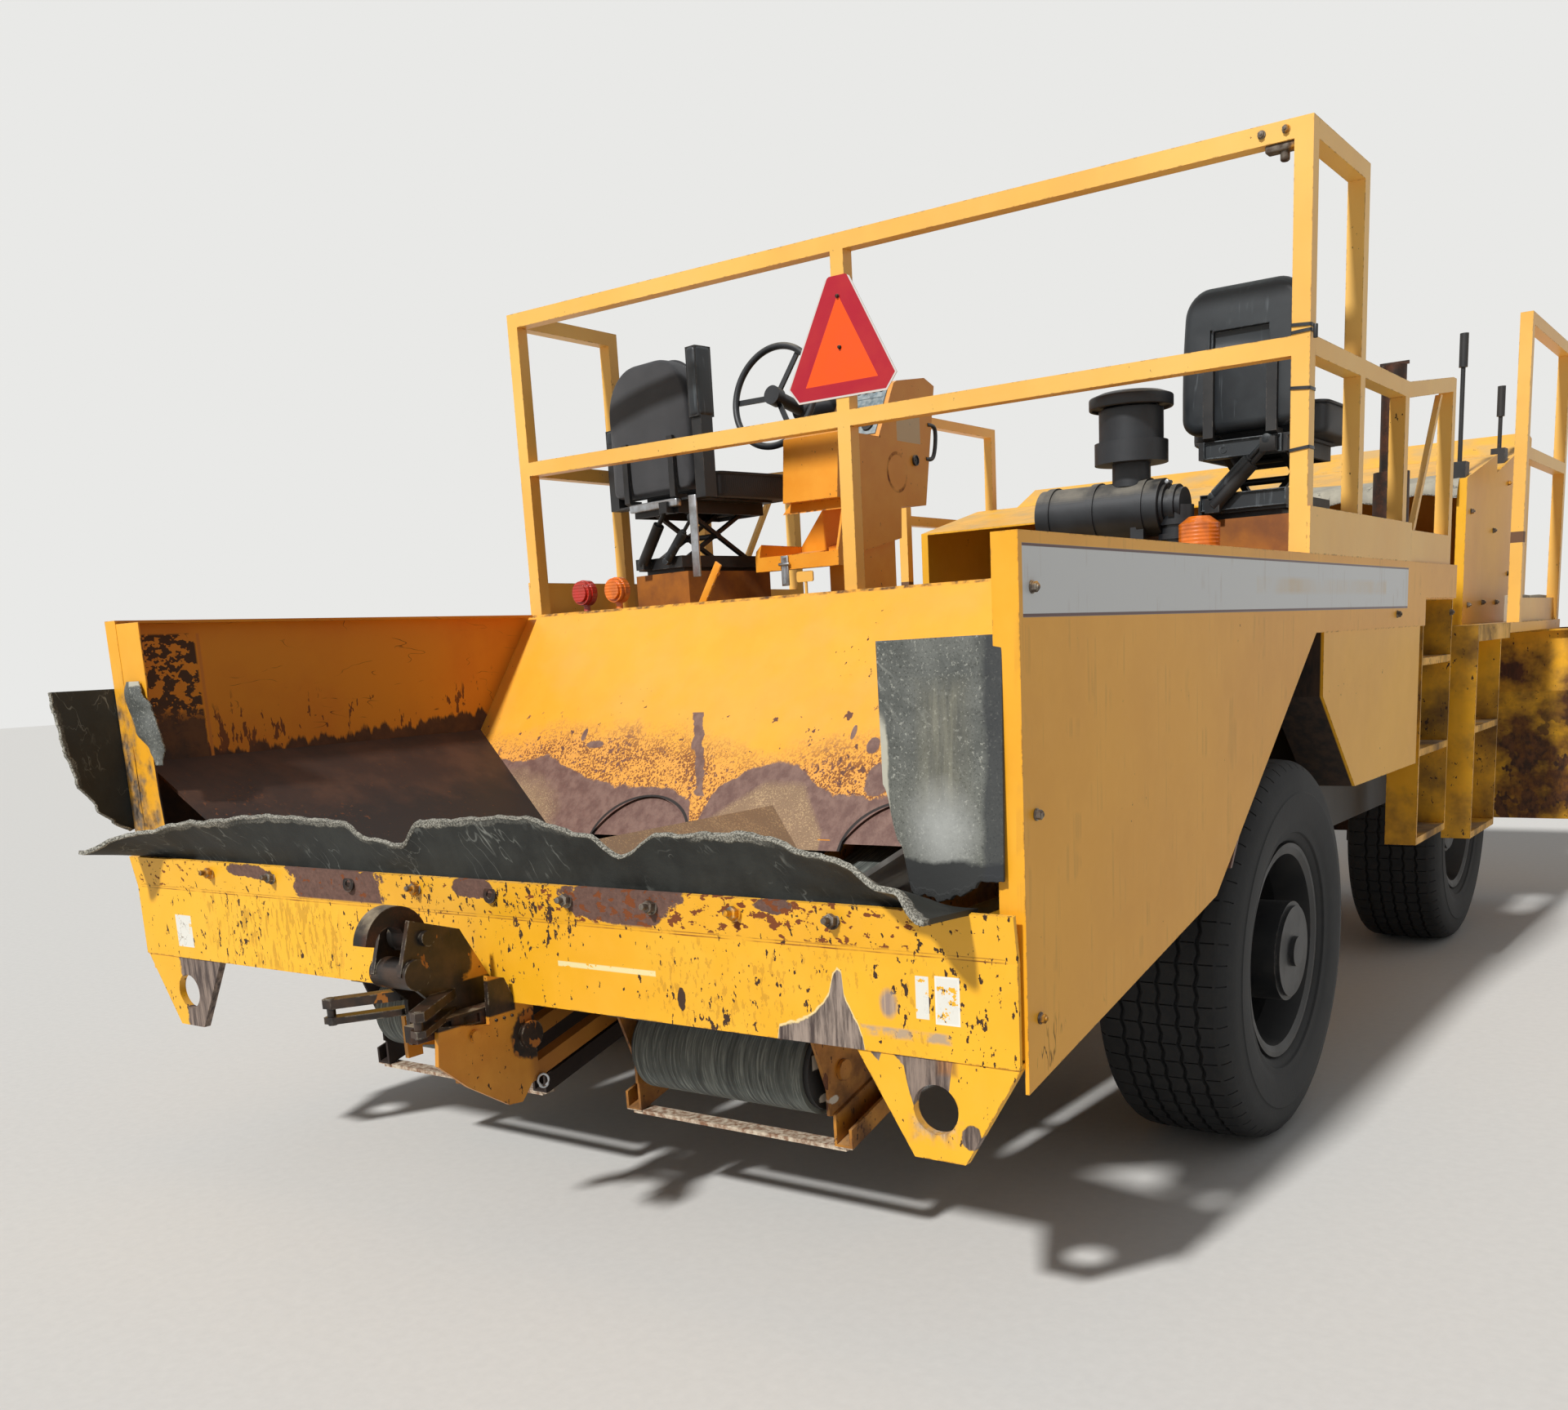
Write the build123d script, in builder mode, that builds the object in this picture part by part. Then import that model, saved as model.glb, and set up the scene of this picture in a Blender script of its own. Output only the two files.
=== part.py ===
from build123d import *
from math import cos, hypot, radians, sin, tan
import os

# Self-propelled chip spreader: receiving bin at the rear, two belts over the axles, spread hopper in front.
# Millimetres. X to the right, Y forward, Z up. The origin lies on the ground under the middle of the machine.

os.makedirs("parts", exist_ok=True)

# Overall sizes and stations along the machine
reach_behind = 350.0        # hitch hook's nose, behind the side panels' rear edge
reach_ahead = 5750.0        # spread hopper's front, ahead of that edge
tail_y = (reach_behind - reach_ahead) / 2
front_y = tail_y + reach_ahead
body_half = 1448.0          # outer face of the side panels
skin = 8.0                  # sheet of the panels
fit_gap = 0.3               # running gap between faces of different bodies
bin_top = 1596.0
band_low = 1389.0           # lower edge of the side band
rail_y = tail_y + 1660.0    # top of the bin's sloping wall
deck_end_y = tail_y + 3470.0

# Wheels
tyre_radius = 530.0
tyre_width = 385.0
rim_radius = 298.0
rear_axle_y = tail_y + 1640.0
wheelbase = 2920.0
front_axle_y = rear_axle_y + wheelbase
rear_track_x = 1247.0       # middle of a rear tyre
front_track_x = 1107.0      # middle of a front tyre
kingpin_x = 880.0
kingpin_radius = 25.0
spindle_radius = 45.0

# Frame rails
rail_depth = 150.0
rail_wall = 90.0
frame_low = 610.0
rear_rail_x = 910.0         # middle of a rear frame rail
front_rail_x = 610.0        # middle of a front frame rail
step_y = tail_y + 2200.0    # middle of the crossmember where the frame steps in
cross_wide = 200.0

# Conveyors
belt_x = 493.0              # middle of each belt
belt_width = 508.0
belt_thick = 12.0
pulley_radius = 98.0
tail_pulley_y = tail_y + 347.0
tail_pulley_z = 457.0
belt_angle = 15.0
head_pulley_y = tail_y + 5180.0
belt_rise = tan(radians(belt_angle))
trough_half = 290.0         # inner face of a trough's side plate, from the belt's middle
trough_up = 145.0           # trough's top edge over the belt's middle line
trough_down = 110.0

# Receiving bin
gate_y = tail_y + 1105.0    # foot of the sloping wall
gate_z = 842.0
chute_top = 1180.0
chute_low = 805.0
bin_sheet = 10.0

# Beam across the tail
beam_back = 20.0            # beam's face behind the side panels' edge
beam_top = 925.0
beam_crease = 835.0
beam_low = 635.0
beam_sheet = 10.0
flange_deep = 80.0
eye_x = body_half - 193.0
eye_z = 533.0
eye_radius = 50.0
eye_plate = 20.0

# Deck, platform and guard rails
deck_thick = 40.0
deck_beam = 80.0
platform_z = 1379.0
platform_half = 1500.0
platform_back = tail_y + 4250.0
platform_front = tail_y + 5150.0
wing_front = tail_y + 5500.0
tube = 48.0                 # square tube of the guard rails
guard_top = 2657.0
guard_mid = 2142.0
front_guard_top = 2595.0

# Hood over the conveyors' heads
hood_x = 1300.0
hood_sheet = 8.0
hood_back = tail_y + 4326.0
hood_step = tail_y + 4931.0
hood_peak = tail_y + 5640.0
hood_back_z = 1969.0
hood_step_z = 2106.0
hood_low_z = 2030.0

# Spread hopper
hopper_half = 1829.0
hopper_end = 22.0           # end plate
hopper_rib = 29.0           # flange outside the end plate
hopper_top = 1339.0
hopper_low = 430.0
hopper_sheet = 8.0
roll_radius = 80.0
roll_shaft = 20.0
roll_y = tail_y + 5585.0
roll_z = 520.0
gate_pin_y = tail_y + 5708.0
gate_pin_z = 660.0
gate_pin = 14.0

# Hitch
hook_pin = 18.0
hitch_foot = 390.0


def block(low, high, mode=Mode.ADD):
    """A block between its lowest and highest corners."""
    size = [far - near for near, far in zip(low, high)]
    middle = [(near + far) / 2 for near, far in zip(low, high)]
    with Locations(tuple(middle)):
        Box(*size, mode=mode)


def side_shape(points, x_low, x_high, mode=Mode.ADD):
    """A plate whose outline is given as (y, z), from x_low to x_high."""
    with BuildSketch(Plane.YZ.offset(x_low)) as outline:
        with BuildLine():
            Polyline(*points, close=True)
        make_face()
    extrude(to_extrude=outline.sketch, amount=x_high - x_low, mode=mode)


def cross_shape(points, y_low, y_high, mode=Mode.ADD):
    """A plate whose outline is given as (x, z), from y_low to y_high."""
    with BuildSketch(Plane.XZ.offset(-y_low)) as outline:
        with BuildLine():
            Polyline(*points, close=True)
        make_face()
    extrude(to_extrude=outline.sketch, amount=y_low - y_high, mode=mode)


def top_shape(points, z_low, z_high, mode=Mode.ADD):
    """A plate whose outline is given as (x, y), from z_low to z_high."""
    with BuildSketch(Plane.XY.offset(z_low)) as outline:
        with BuildLine():
            Polyline(*points, close=True)
        make_face()
    extrude(to_extrude=outline.sketch, amount=z_high - z_low, mode=mode)


def bar(axis, centre, radius, length, mode=Mode.ADD):
    """A round bar along X, Y or Z about its middle."""
    turn = {"x": (0, 90, 0), "y": (90, 0, 0), "z": (0, 0, 0)}[axis]
    with Locations(Location(centre, turn)):
        Cylinder(radius, length, mode=mode)


def done(piece, node):
    """Name a finished piece and write it."""
    piece.part.label = node
    export_step(piece.part, "parts/" + node + ".step")


def span(sign, near, far):
    """The X range of something between two distances from the centreline."""
    return (near, far) if sign > 0 else (-far, -near)


def along(points):
    """Outline points given as (distance ahead of the tail, height)."""
    return [(tail_y + ahead, z) for ahead, z in points]


def belt_z(y):
    """Height of the belts' middle line over a station."""
    return tail_pulley_z + (y - tail_pulley_y) * belt_rise


SIDES = (("left", -1), ("right", 1))

# Frame: rear rails outside the belts, front rails further in, crossmembers and the posts under the deck
frame_top = frame_low + rail_depth
frame_back = tail_y - beam_back + beam_sheet + flange_deep
frame_front = tail_y + 5120
post_top = bin_top - deck_thick - deck_beam
deck_cross = (step_y, deck_end_y - 45)
frame_outer = rear_rail_x + rail_wall / 2
with BuildPart() as main_frame:
    for side, sign in SIDES:
        x0, x1 = span(sign, rear_rail_x - rail_wall / 2, frame_outer)
        block((x0, frame_back, frame_low), (x1, deck_end_y, frame_top))
        for y in deck_cross:
            block((x0, y - 45, frame_top), (x1, y + 45, post_top))
        x0, x1 = span(sign, front_rail_x - rail_wall / 2, front_rail_x + rail_wall / 2)
        block((x0, step_y - cross_wide / 2, frame_low), (x1, frame_front, frame_top))
        for y in (platform_back + 45, platform_front - 90):
            block((x0, y - 45, frame_top), (x1, y + 45, platform_z - deck_thick))
    block((-frame_outer, step_y - cross_wide / 2, frame_low),
          (frame_outer, step_y + cross_wide / 2, frame_top))
    block((-frame_outer, deck_end_y - 90, frame_low), (frame_outer, deck_end_y, frame_top))
    block((-front_rail_x, frame_front - 120, frame_low), (front_rail_x, frame_front, frame_top))
done(main_frame, "main_frame")

# Beam across the tail: bent plate with a sloped strip on top and a flange below
face_y = tail_y - beam_back
back_y = face_y + beam_sheet
beam_half = body_half - skin
lean = 14.0
beam_section = [
    (face_y, beam_low), (face_y, beam_crease), (face_y - lean, beam_top), (back_y - lean, beam_top + 2),
    (back_y, beam_crease + 2), (back_y, beam_low + beam_sheet),
    (back_y + flange_deep, beam_low + beam_sheet), (back_y + flange_deep, beam_low),
]
rail_inner = rear_rail_x - rail_wall / 2
with BuildPart() as rear_beam:
    side_shape(beam_section, -beam_half, beam_half)
    for x in (-frame_outer, -rail_inner - beam_sheet, rail_inner, frame_outer - beam_sheet):
        block((x, back_y, beam_low + beam_sheet), (x + beam_sheet, frame_back, frame_top))
done(rear_beam, "rear_beam")

# Tow-eye plates under the beam's ends
eye_low = 430.0
with BuildPart() as tow_eyes:
    for side, sign in SIDES:
        corners = [(eye_x - 177, beam_low), (eye_x - 51, eye_low), (eye_x + 62, eye_low),
                   (body_half - skin, beam_low)]
        cross_shape([(sign * x, z) for x, z in corners], face_y + 4, face_y + 4 + eye_plate)
        bar("y", (sign * eye_x, face_y, eye_z), eye_radius, 200, mode=Mode.SUBTRACT)
done(tow_eyes, "tow_eyes")

# Side panels with the slanted wheel arch and the inward flange at the rear edge
panel = along([(0, 584), (989, 795), (1751, band_low), (3004, band_low), (3004, 1480), (3470, 1480),
               (3470, bin_top), (0, bin_top)])
flange_wide = 45.0
for side, sign in SIDES:
    with BuildPart() as side_panel:
        side_shape(panel, *span(sign, body_half - skin, body_half))
        x0, x1 = span(sign, body_half - skin - flange_wide, body_half - skin)
        block((x0, tail_y, beam_low + beam_sheet + 5), (x1, tail_y + skin, bin_top))
        block((x0, tail_y + skin, bin_top - skin), (x1, rail_y - 30, bin_top))
    done(side_panel, "side_panel_" + side)

# Boxes under the side band ahead of the rear wheels
box_outline = along([(1830, band_low), (1830, 1215), (2181, 930), (2940, 930), (2940, band_low)])
box_inner = {"left": body_half - 448, "right": body_half - 148}
with BuildPart() as side_boxes:
    for side, sign in SIDES:
        side_shape(box_outline, *span(sign, box_inner[side], body_half - 2))
        x0, x1 = span(sign, body_half - 83, body_half - 13)
        for ahead in (1900, 2800):
            block((x0, tail_y + ahead, band_low), (x1, tail_y + ahead + 40, post_top))
done(side_boxes, "side_boxes")

# Bin's sloping front wall with an arch over each belt
slope_run = rail_y - gate_y
slope_rise = bin_top - gate_z
slope = slope_run / slope_rise
wall_run = bin_sheet * hypot(slope_run, slope_rise) / slope_rise
arch_half = 200.0
arch_rise = 110.0
arch_spring = 868.0
arch_foot = gate_z - 50


def arch_opening(middle, more, y, depth, mode):
    """The arch's outline, wider by a margin, drawn through from a station."""
    half, top = arch_half + more, arch_spring + arch_rise + more
    with BuildSketch(Plane.XZ.offset(-y)) as arch:
        with BuildLine():
            Line((middle - half, arch_foot), (middle + half, arch_foot))
            Line((middle + half, arch_foot), (middle + half, arch_spring))
            ThreePointArc((middle + half, arch_spring), (middle, top), (middle - half, arch_spring))
            Line((middle - half, arch_spring), (middle - half, arch_foot))
        make_face()
    extrude(to_extrude=arch.sketch, amount=-depth, mode=mode)


with BuildPart() as bin_front_wall:
    side_shape([(gate_y, gate_z), (gate_y + wall_run, gate_z), (rail_y + wall_run, bin_top),
                (rail_y, bin_top)], -beam_half, beam_half)
    for sign in (-1, 1):
        arch_opening(sign * belt_x, 0, gate_y - 100, 500, Mode.SUBTRACT)
    # Gate plates behind the arches, in the same slope, with their lower edges over the belts
    for side, sign in SIDES:
        low, high = arch_spring - 8, arch_spring + arch_rise + 30
        y_low = gate_y + (low - gate_z) * slope + wall_run
        y_high = gate_y + (high - gate_z) * slope + wall_run
        side_shape([(y_low, low), (y_low + wall_run, low), (y_high + wall_run, high), (y_high, high)],
                   *span(sign, belt_x - arch_half - 25, belt_x + arch_half + 25))
done(bin_front_wall, "bin_front_wall")


def ahead_of_wall(mode=Mode.SUBTRACT):
    """Take away what reaches past the bin side of the sloping wall."""
    low_z, high_z = 300.0, bin_top + 100
    y_low = gate_y + (low_z - gate_z) * slope
    y_high = gate_y + (high_z - gate_z) * slope
    side_shape([(y_low, low_z), (y_low + 3000, low_z), (y_high + 3000, high_z), (y_high, high_z)],
               -body_half, body_half, mode=mode)


# Bin floor: side chutes, the ridge between the belts and the tail slope
chute_in = belt_x + trough_half + skin
floor_back = tail_y + 60
floor_sheet = 12.0
ridge_half = belt_x - trough_half - skin
ridge_top = 960.0
ridge_sheet = 14.0
tail_slope = along([(-10, 836), (0, 836), (205, 566), (195, 560), (-10, 822)])
with BuildPart() as bin_floor:
    cross_shape([(-ridge_half, chute_low), (0, ridge_top), (ridge_half, chute_low),
                 (ridge_half - ridge_sheet, chute_low), (0, ridge_top - ridge_sheet),
                 (-ridge_half + ridge_sheet, chute_low)], floor_back, rail_y)
    for side, sign in SIDES:
        cross_shape([(sign * chute_in, chute_low), (sign * beam_half, chute_top),
                     (sign * beam_half, chute_top + floor_sheet), (sign * chute_in, chute_low + floor_sheet)],
                    floor_back, rail_y)
    ahead_of_wall()
    for side, sign in SIDES:
        side_shape(tail_slope, *span(sign, belt_x - trough_half + 1, belt_x + trough_half - 1))
done(bin_floor, "bin_floor")

# Conveyors: trough side plates with the pulleys, ties and tail channels, and a belt round each
trough_end = tail_y + 5240
tail_edge = tail_pulley_y - 60
belt_outer = pulley_radius + fit_gap + belt_thick
belt_run = hypot(head_pulley_y - tail_pulley_y, (head_pulley_y - tail_pulley_y) * belt_rise)
belt_middle = (tail_pulley_y + head_pulley_y) / 2
trough_side = [
    (tail_edge, belt_z(tail_edge) - 20), (tail_y + 228, 570), (tail_y + 62, chute_low),
    (gate_y - 4, chute_low), (trough_end, belt_z(trough_end) + trough_up),
    (trough_end, belt_z(trough_end) - trough_down),
    (tail_pulley_y, belt_z(tail_pulley_y) - trough_down), (tail_edge, belt_z(tail_edge) - 80),
]
hanger_y = step_y - 45
channel_back = tail_y + 300.0
channel_front = tail_y + 900.0
channel_deep = 78.0
channel_wide = 50.0
channel_lip = 48.0
channel_sheet = 8.0
channel_z = belt_z(channel_back) - 162
scraper_y = channel_back + 4
for side, sign in SIDES:
    middle = sign * belt_x
    with BuildPart() as trough:
        for x in (middle - trough_half - skin, middle + trough_half):
            side_shape(trough_side, x, x + skin)
            block((x, hanger_y, frame_top), (x + skin, hanger_y + 90, belt_z(step_y) - 60))
            block((x, platform_back + 5, platform_z),
                  (x + skin, platform_back + 95, belt_z(platform_back) - 60))
        for y in (tail_pulley_y, head_pulley_y):
            bar("x", (middle, y, belt_z(y)), pulley_radius, belt_width + 30)
            bar("x", (middle, y, belt_z(y)), 25, 2 * trough_half + 2 * skin + 20)
        for ahead in (750, 1500, 2300, 3100, 3900, 4600):
            y = tail_y + ahead
            bar("x", (middle, y, belt_z(y)), 22, 2 * trough_half)
        # Tail channels, open at the top, and the scraper bar between them
        rise = (channel_front - channel_back) * belt_rise
        for way in (-1, 1):
            edge = middle + way * (trough_half + skin)
            for near, far, high in ((0, channel_sheet, channel_deep), (0, channel_wide, channel_sheet),
                                    (channel_wide - channel_sheet, channel_wide, channel_lip)):
                x0, x1 = sorted((edge + way * near, edge + way * far))
                side_shape([(channel_back, channel_z), (channel_front, channel_z + rise),
                            (channel_front, channel_z + rise + high),
                            (channel_back, channel_z + high)], x0, x1)
        low_x, high_x = middle - trough_half - skin - 30, middle + trough_half + skin + 30
        block((low_x, scraper_y, channel_z - 8), (high_x, scraper_y + 45, channel_z + 2))
    done(trough, "conveyor_" + side)
with BuildPart() as belts:
    for side, sign in SIDES:
        with BuildSketch(Plane.YZ.offset(sign * belt_x - belt_width / 2)) as loop:
            with Locations((belt_middle, belt_z(belt_middle))):
                SlotCenterToCenter(belt_run, 2 * belt_outer, rotation=belt_angle)
                SlotCenterToCenter(belt_run, 2 * (belt_outer - belt_thick), rotation=belt_angle,
                                   mode=Mode.SUBTRACT)
        extrude(to_extrude=loop.sketch, amount=belt_width)
done(belts, "belts")

# Rubber flaps: the long one leans out over the beam, with two bites in its edge, and one hangs at each corner
flap_thick = 12.0
flap_foot = 850.0
flap_bend = 935.0
flap_y = back_y + 0.5
# Columns: distance from the middle, lean behind the beam, height of the edge
FLAP_EDGE = (
    (-1395, 203, 968), (-1250, 125, 1015), (-1000, 85, 1048), (-700, 60, 1068), (-420, 45, 1058),
    (-330, 30, 1010), (-210, 30, 1002), (-120, 35, 1072), (200, 35, 1080), (420, 40, 1045), (520, 35, 1002),
    (620, 45, 1058), (860, 55, 1065), (1080, 80, 1030), (1250, 130, 985), (1350, 192, 942),
)


def flap_section(lean_back, top):
    """The flap's section as (y, z): straight up behind the beam, then leaning out over it."""
    run, rise = lean_back - (tail_y - flap_y), top - flap_bend
    length = hypot(run, rise)
    across, up = flap_thick * rise / length, flap_thick * run / length
    turn = run / (length + rise)
    tip_y, foot_y = flap_y - run, flap_y + flap_thick
    return [(flap_y, flap_foot), (flap_y, flap_bend), (tip_y, top), (tip_y + across, top + up),
            (foot_y, flap_bend + flap_thick * turn), (foot_y, flap_foot)]


with BuildPart() as rear_flap:
    for x, lean_back, top in FLAP_EDGE:
        with BuildSketch(Plane.YZ.offset(x)):
            with BuildLine():
                Polyline(*flap_section(lean_back, top), close=True)
            make_face()
    loft(ruled=True)
done(rear_flap, "rear_flap")

# Corner flaps. Columns for the right one: distance inside the panel's face, height
corner_top = 1422.0
corner_back = tail_y + skin
CORNER_FLAP = ((298, corner_top), (248, 1000), (233, 950), (158, 945), (54, 985), (10, 990), (10, corner_top))
ear_back = tail_y - 184
ear_top = 1400.0
ear_low = 1000.0
with BuildPart() as corner_flaps:
    cross_shape([(body_half - inside, z) for inside, z in CORNER_FLAP], corner_back, corner_back + flap_thick)
    with BuildSketch(Plane.YZ.offset(-body_half - flap_thick)) as ear:
        with BuildLine():
            Line((tail_y, ear_low), (tail_y, ear_top))
            Line((tail_y, ear_top), (ear_back, ear_top))
            Line((ear_back, ear_top), (ear_back + 3, 1335))
            ThreePointArc((ear_back + 3, 1335), (tail_y - 148, 1149), (tail_y, ear_low))
        make_face()
    extrude(to_extrude=ear.sketch, amount=flap_thick)
    block((-body_half - flap_thick, tail_y - flap_thick, ear_low + 60),
          (-body_half + skin + flange_wide, tail_y, ear_top))
done(corner_flaps, "corner_flaps")

# Deck on its beams
deck_low = bin_top - deck_thick
deck_back = rail_y + wall_run + 1
with BuildPart() as deck_plate:
    block((-(body_half - skin), deck_back, deck_low), (body_half - skin, deck_end_y, bin_top))
    for sign in (-1, 1):
        x0, x1 = span(sign, body_half - skin - deck_beam, body_half - skin)
        block((x0, deck_back, post_top), (x1, deck_end_y, deck_low))
    for y in (deck_back + 45, *deck_cross):
        block((-(body_half - skin), y - 45, post_top), (body_half - skin, y + 45, deck_low))
done(deck_plate, "deck")

# Front platform beside and under the conveyors' heads
wing_inner = hood_x - 60
platform_outline = [
    (-platform_half, platform_back), (platform_half, platform_back), (platform_half, wing_front),
    (wing_inner, wing_front), (wing_inner, platform_front), (-wing_inner, platform_front),
    (-wing_inner, wing_front), (-platform_half, wing_front),
]
with BuildPart() as front_platform:
    top_shape(platform_outline, platform_z - deck_thick, platform_z)
done(front_platform, "front_platform")

# Guard rails of the deck
rear_guard_y = deck_back + 2
corner_x = body_half - skin - tube
with BuildPart() as rear_rail:
    for x in (-corner_x - tube, -tube / 2, corner_x):
        block((x, rear_guard_y, bin_top), (x + tube, rear_guard_y + tube, guard_top))
    for top in (guard_mid, guard_top):
        block((-corner_x - tube, rear_guard_y, top - tube), (corner_x + tube, rear_guard_y + tube, top))
done(rear_rail, "rear_rail")
post_2 = tail_y + 2160
post_3 = tail_y + 2680
post_4 = tail_y + 3340
low_guard_top = 2226.0
brace_foot = tail_y + 2885
brace_head = tail_y + 3222
for side, sign in SIDES:
    x0, x1 = span(sign, corner_x, corner_x + tube)
    with BuildPart() as side_rail:
        block((x0, post_2, bin_top), (x1, post_2 + tube, guard_top))
        block((x0, rear_guard_y + tube, guard_top - tube), (x1, post_2, guard_top))
        block((x0, rear_guard_y + tube, guard_mid - tube), (x1, post_3 + tube, guard_mid))
        block((x0, post_3, bin_top), (x1, post_3 + tube, guard_mid))
        block((x0, post_4, bin_top), (x1, post_4 + tube, low_guard_top))
        side_shape([(post_3 + tube, guard_mid - tube), (post_3 + tube, guard_mid), (post_4, low_guard_top),
                    (post_4, low_guard_top - tube)], x0, x1)
        side_shape([(brace_foot, bin_top + 100), (brace_foot + 30, bin_top + 100), (brace_head + 30, 2160),
                    (brace_head, 2158)], x0 + 15, x1 - 15)
        block((x0, post_3 + tube, bin_top), (x1, post_4, bin_top + 100))
        x0, x1 = span(sign, corner_x + tube, body_half)
        block((x0, rear_guard_y, bin_top), (x1, post_3 + 2 * tube, bin_top + 120))
    done(side_rail, "side_rail_" + side)

# Guard rails of the front platform
front_post_1 = tail_y + 4440
front_post_2 = tail_y + 5400
with BuildPart() as front_rails:
    for side, sign in SIDES:
        x0, x1 = span(sign, platform_half - tube, platform_half)
        for y in (front_post_1, front_post_2):
            block((x0, y, platform_z), (x1, y + tube, front_guard_top))
        for top in (2080, front_guard_top):
            block((x0, front_post_1, top - tube), (x1, front_post_2 + tube, top))
        block((x0 + 18, front_post_1 + tube, platform_z), (x1 - 18, front_post_2, platform_z + 100))
done(front_rails, "front_rails")

# Ladders: deep plate stiles and plate rungs
# Columns: name, outer face, rear edge, front edge, foot, top, heights of the rungs
ladder_deep = 105.0
ladder_plate = 12.0
LADDERS = (
    ("rear_ladders", body_half - skin, tail_y + 3010, tail_y + 3460, 636, post_top, (636, 945, 1255)),
    ("front_ladders", platform_half, tail_y + 3620, tail_y + 4070, 580, platform_z, (580, 980)),
)
for name, outer_x, back, front, foot, top, rungs in LADDERS:
    with BuildPart() as ladders:
        for side, sign in SIDES:
            x0, x1 = span(sign, outer_x - ladder_deep, outer_x)
            block((x0, back, foot), (x1, back + ladder_plate, top))
            block((x0, front - ladder_plate, foot), (x1, front, top))
            for z in rungs:
                block((x0, back, z), (x1, front, z + 25))
            if name == "front_ladders":
                block((x0, back, top - 60), (x1, platform_back, top))
    done(ladders, name)

# Axles
axle_radius = 70.0
axle_end = rear_track_x + 40
with BuildPart() as rear_axle:
    bar("x", (0, rear_axle_y, tyre_radius), axle_radius, 2 * (rear_track_x - tyre_width / 2 - 20))
    bar("x", (0, rear_axle_y, tyre_radius), spindle_radius, 2 * axle_end)
    bar("x", (0, rear_axle_y, tyre_radius), 110, 300)
    bar("x", (0, rear_axle_y, tyre_radius), 140, 180)
    for sign in (-1, 1):
        x0, x1 = span(sign, rear_rail_x - 60, rear_rail_x + 60)
        block((x0, rear_axle_y - 60, tyre_radius), (x1, rear_axle_y + 60, frame_low))
done(rear_axle, "rear_axle")
yoke_in = kingpin_x - 50
yoke_out = kingpin_x + 26
with BuildPart() as front_axle:
    block((-yoke_in, front_axle_y - 60, tyre_radius - 50), (yoke_in, front_axle_y + 60, tyre_radius + 50))
    for sign in (-1, 1):
        x0, x1 = span(sign, front_rail_x - 45, front_rail_x + 45)
        block((x0, front_axle_y - 60, tyre_radius + 50), (x1, front_axle_y + 60, frame_low))
        x0, x1 = span(sign, yoke_in - 30, yoke_out)
        for low, high in ((tyre_radius - 100, tyre_radius - 60), (tyre_radius + 60, tyre_radius + 100)):
            block((x0, front_axle_y - 35, low), (x1, front_axle_y + 35, high))
        x0, x1 = span(sign, yoke_in - 30, yoke_in)
        block((x0, front_axle_y - 35, tyre_radius - 100), (x1, front_axle_y + 35, tyre_radius + 100))
        bar("z", (sign * kingpin_x, front_axle_y, tyre_radius), kingpin_radius, 200)
done(front_axle, "front_axle")
for side, sign in SIDES:
    kingpin = (sign * kingpin_x, front_axle_y, tyre_radius)
    with BuildPart() as knuckle:
        bar("z", kingpin, 42, 118)
        x0, x1 = span(sign, kingpin_x, kingpin_x + 70)
        block((x0, front_axle_y - 42, tyre_radius - 50), (x1, front_axle_y + 42, tyre_radius + 50))
        reach = front_track_x + 40 - kingpin_x
        bar("x", (sign * (kingpin_x + reach / 2), front_axle_y, tyre_radius), spindle_radius, reach)
        bar("z", kingpin, kingpin_radius + fit_gap, 300, mode=Mode.SUBTRACT)
    done(knuckle, "knuckle_" + side)

# Wheels: tyre as one turned profile, steel wheel with drop centre, disc, hub and studs
tread_half = 145.0
bead_radius = 286.0
well_radius = 250.0
well_half = 60.0
rim_wall = 18.0
disc_thick = 16.0
hub_radius = 138.0
stud_circle = 168.0
hole_circle = 212.0


def tyre_profile():
    """Half of a tyre's section as (distance across, radius), from the bead to the middle of the tread."""
    half = tyre_width / 2
    return [(half - 46, bead_radius), (half - 46, rim_radius + 2), (half - 34, 306), (half - 20, 330),
            (half - 6, 372), (half, 420), (half - 3, 462), (half - 14, 495), (half - 30, 515),
            (tread_half, tyre_radius - 6), (90, tyre_radius)]


def rim_profile():
    """Half of a wheel rim's section, from its outer edge in to the drop centre and back along the bead seat."""
    half = tyre_width / 2 - 30
    return [(half - 10, rim_radius), (half, rim_radius), (half, rim_radius - 12),
            (half - 8, bead_radius - rim_wall), (well_half, well_radius), (0, well_radius)]


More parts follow.
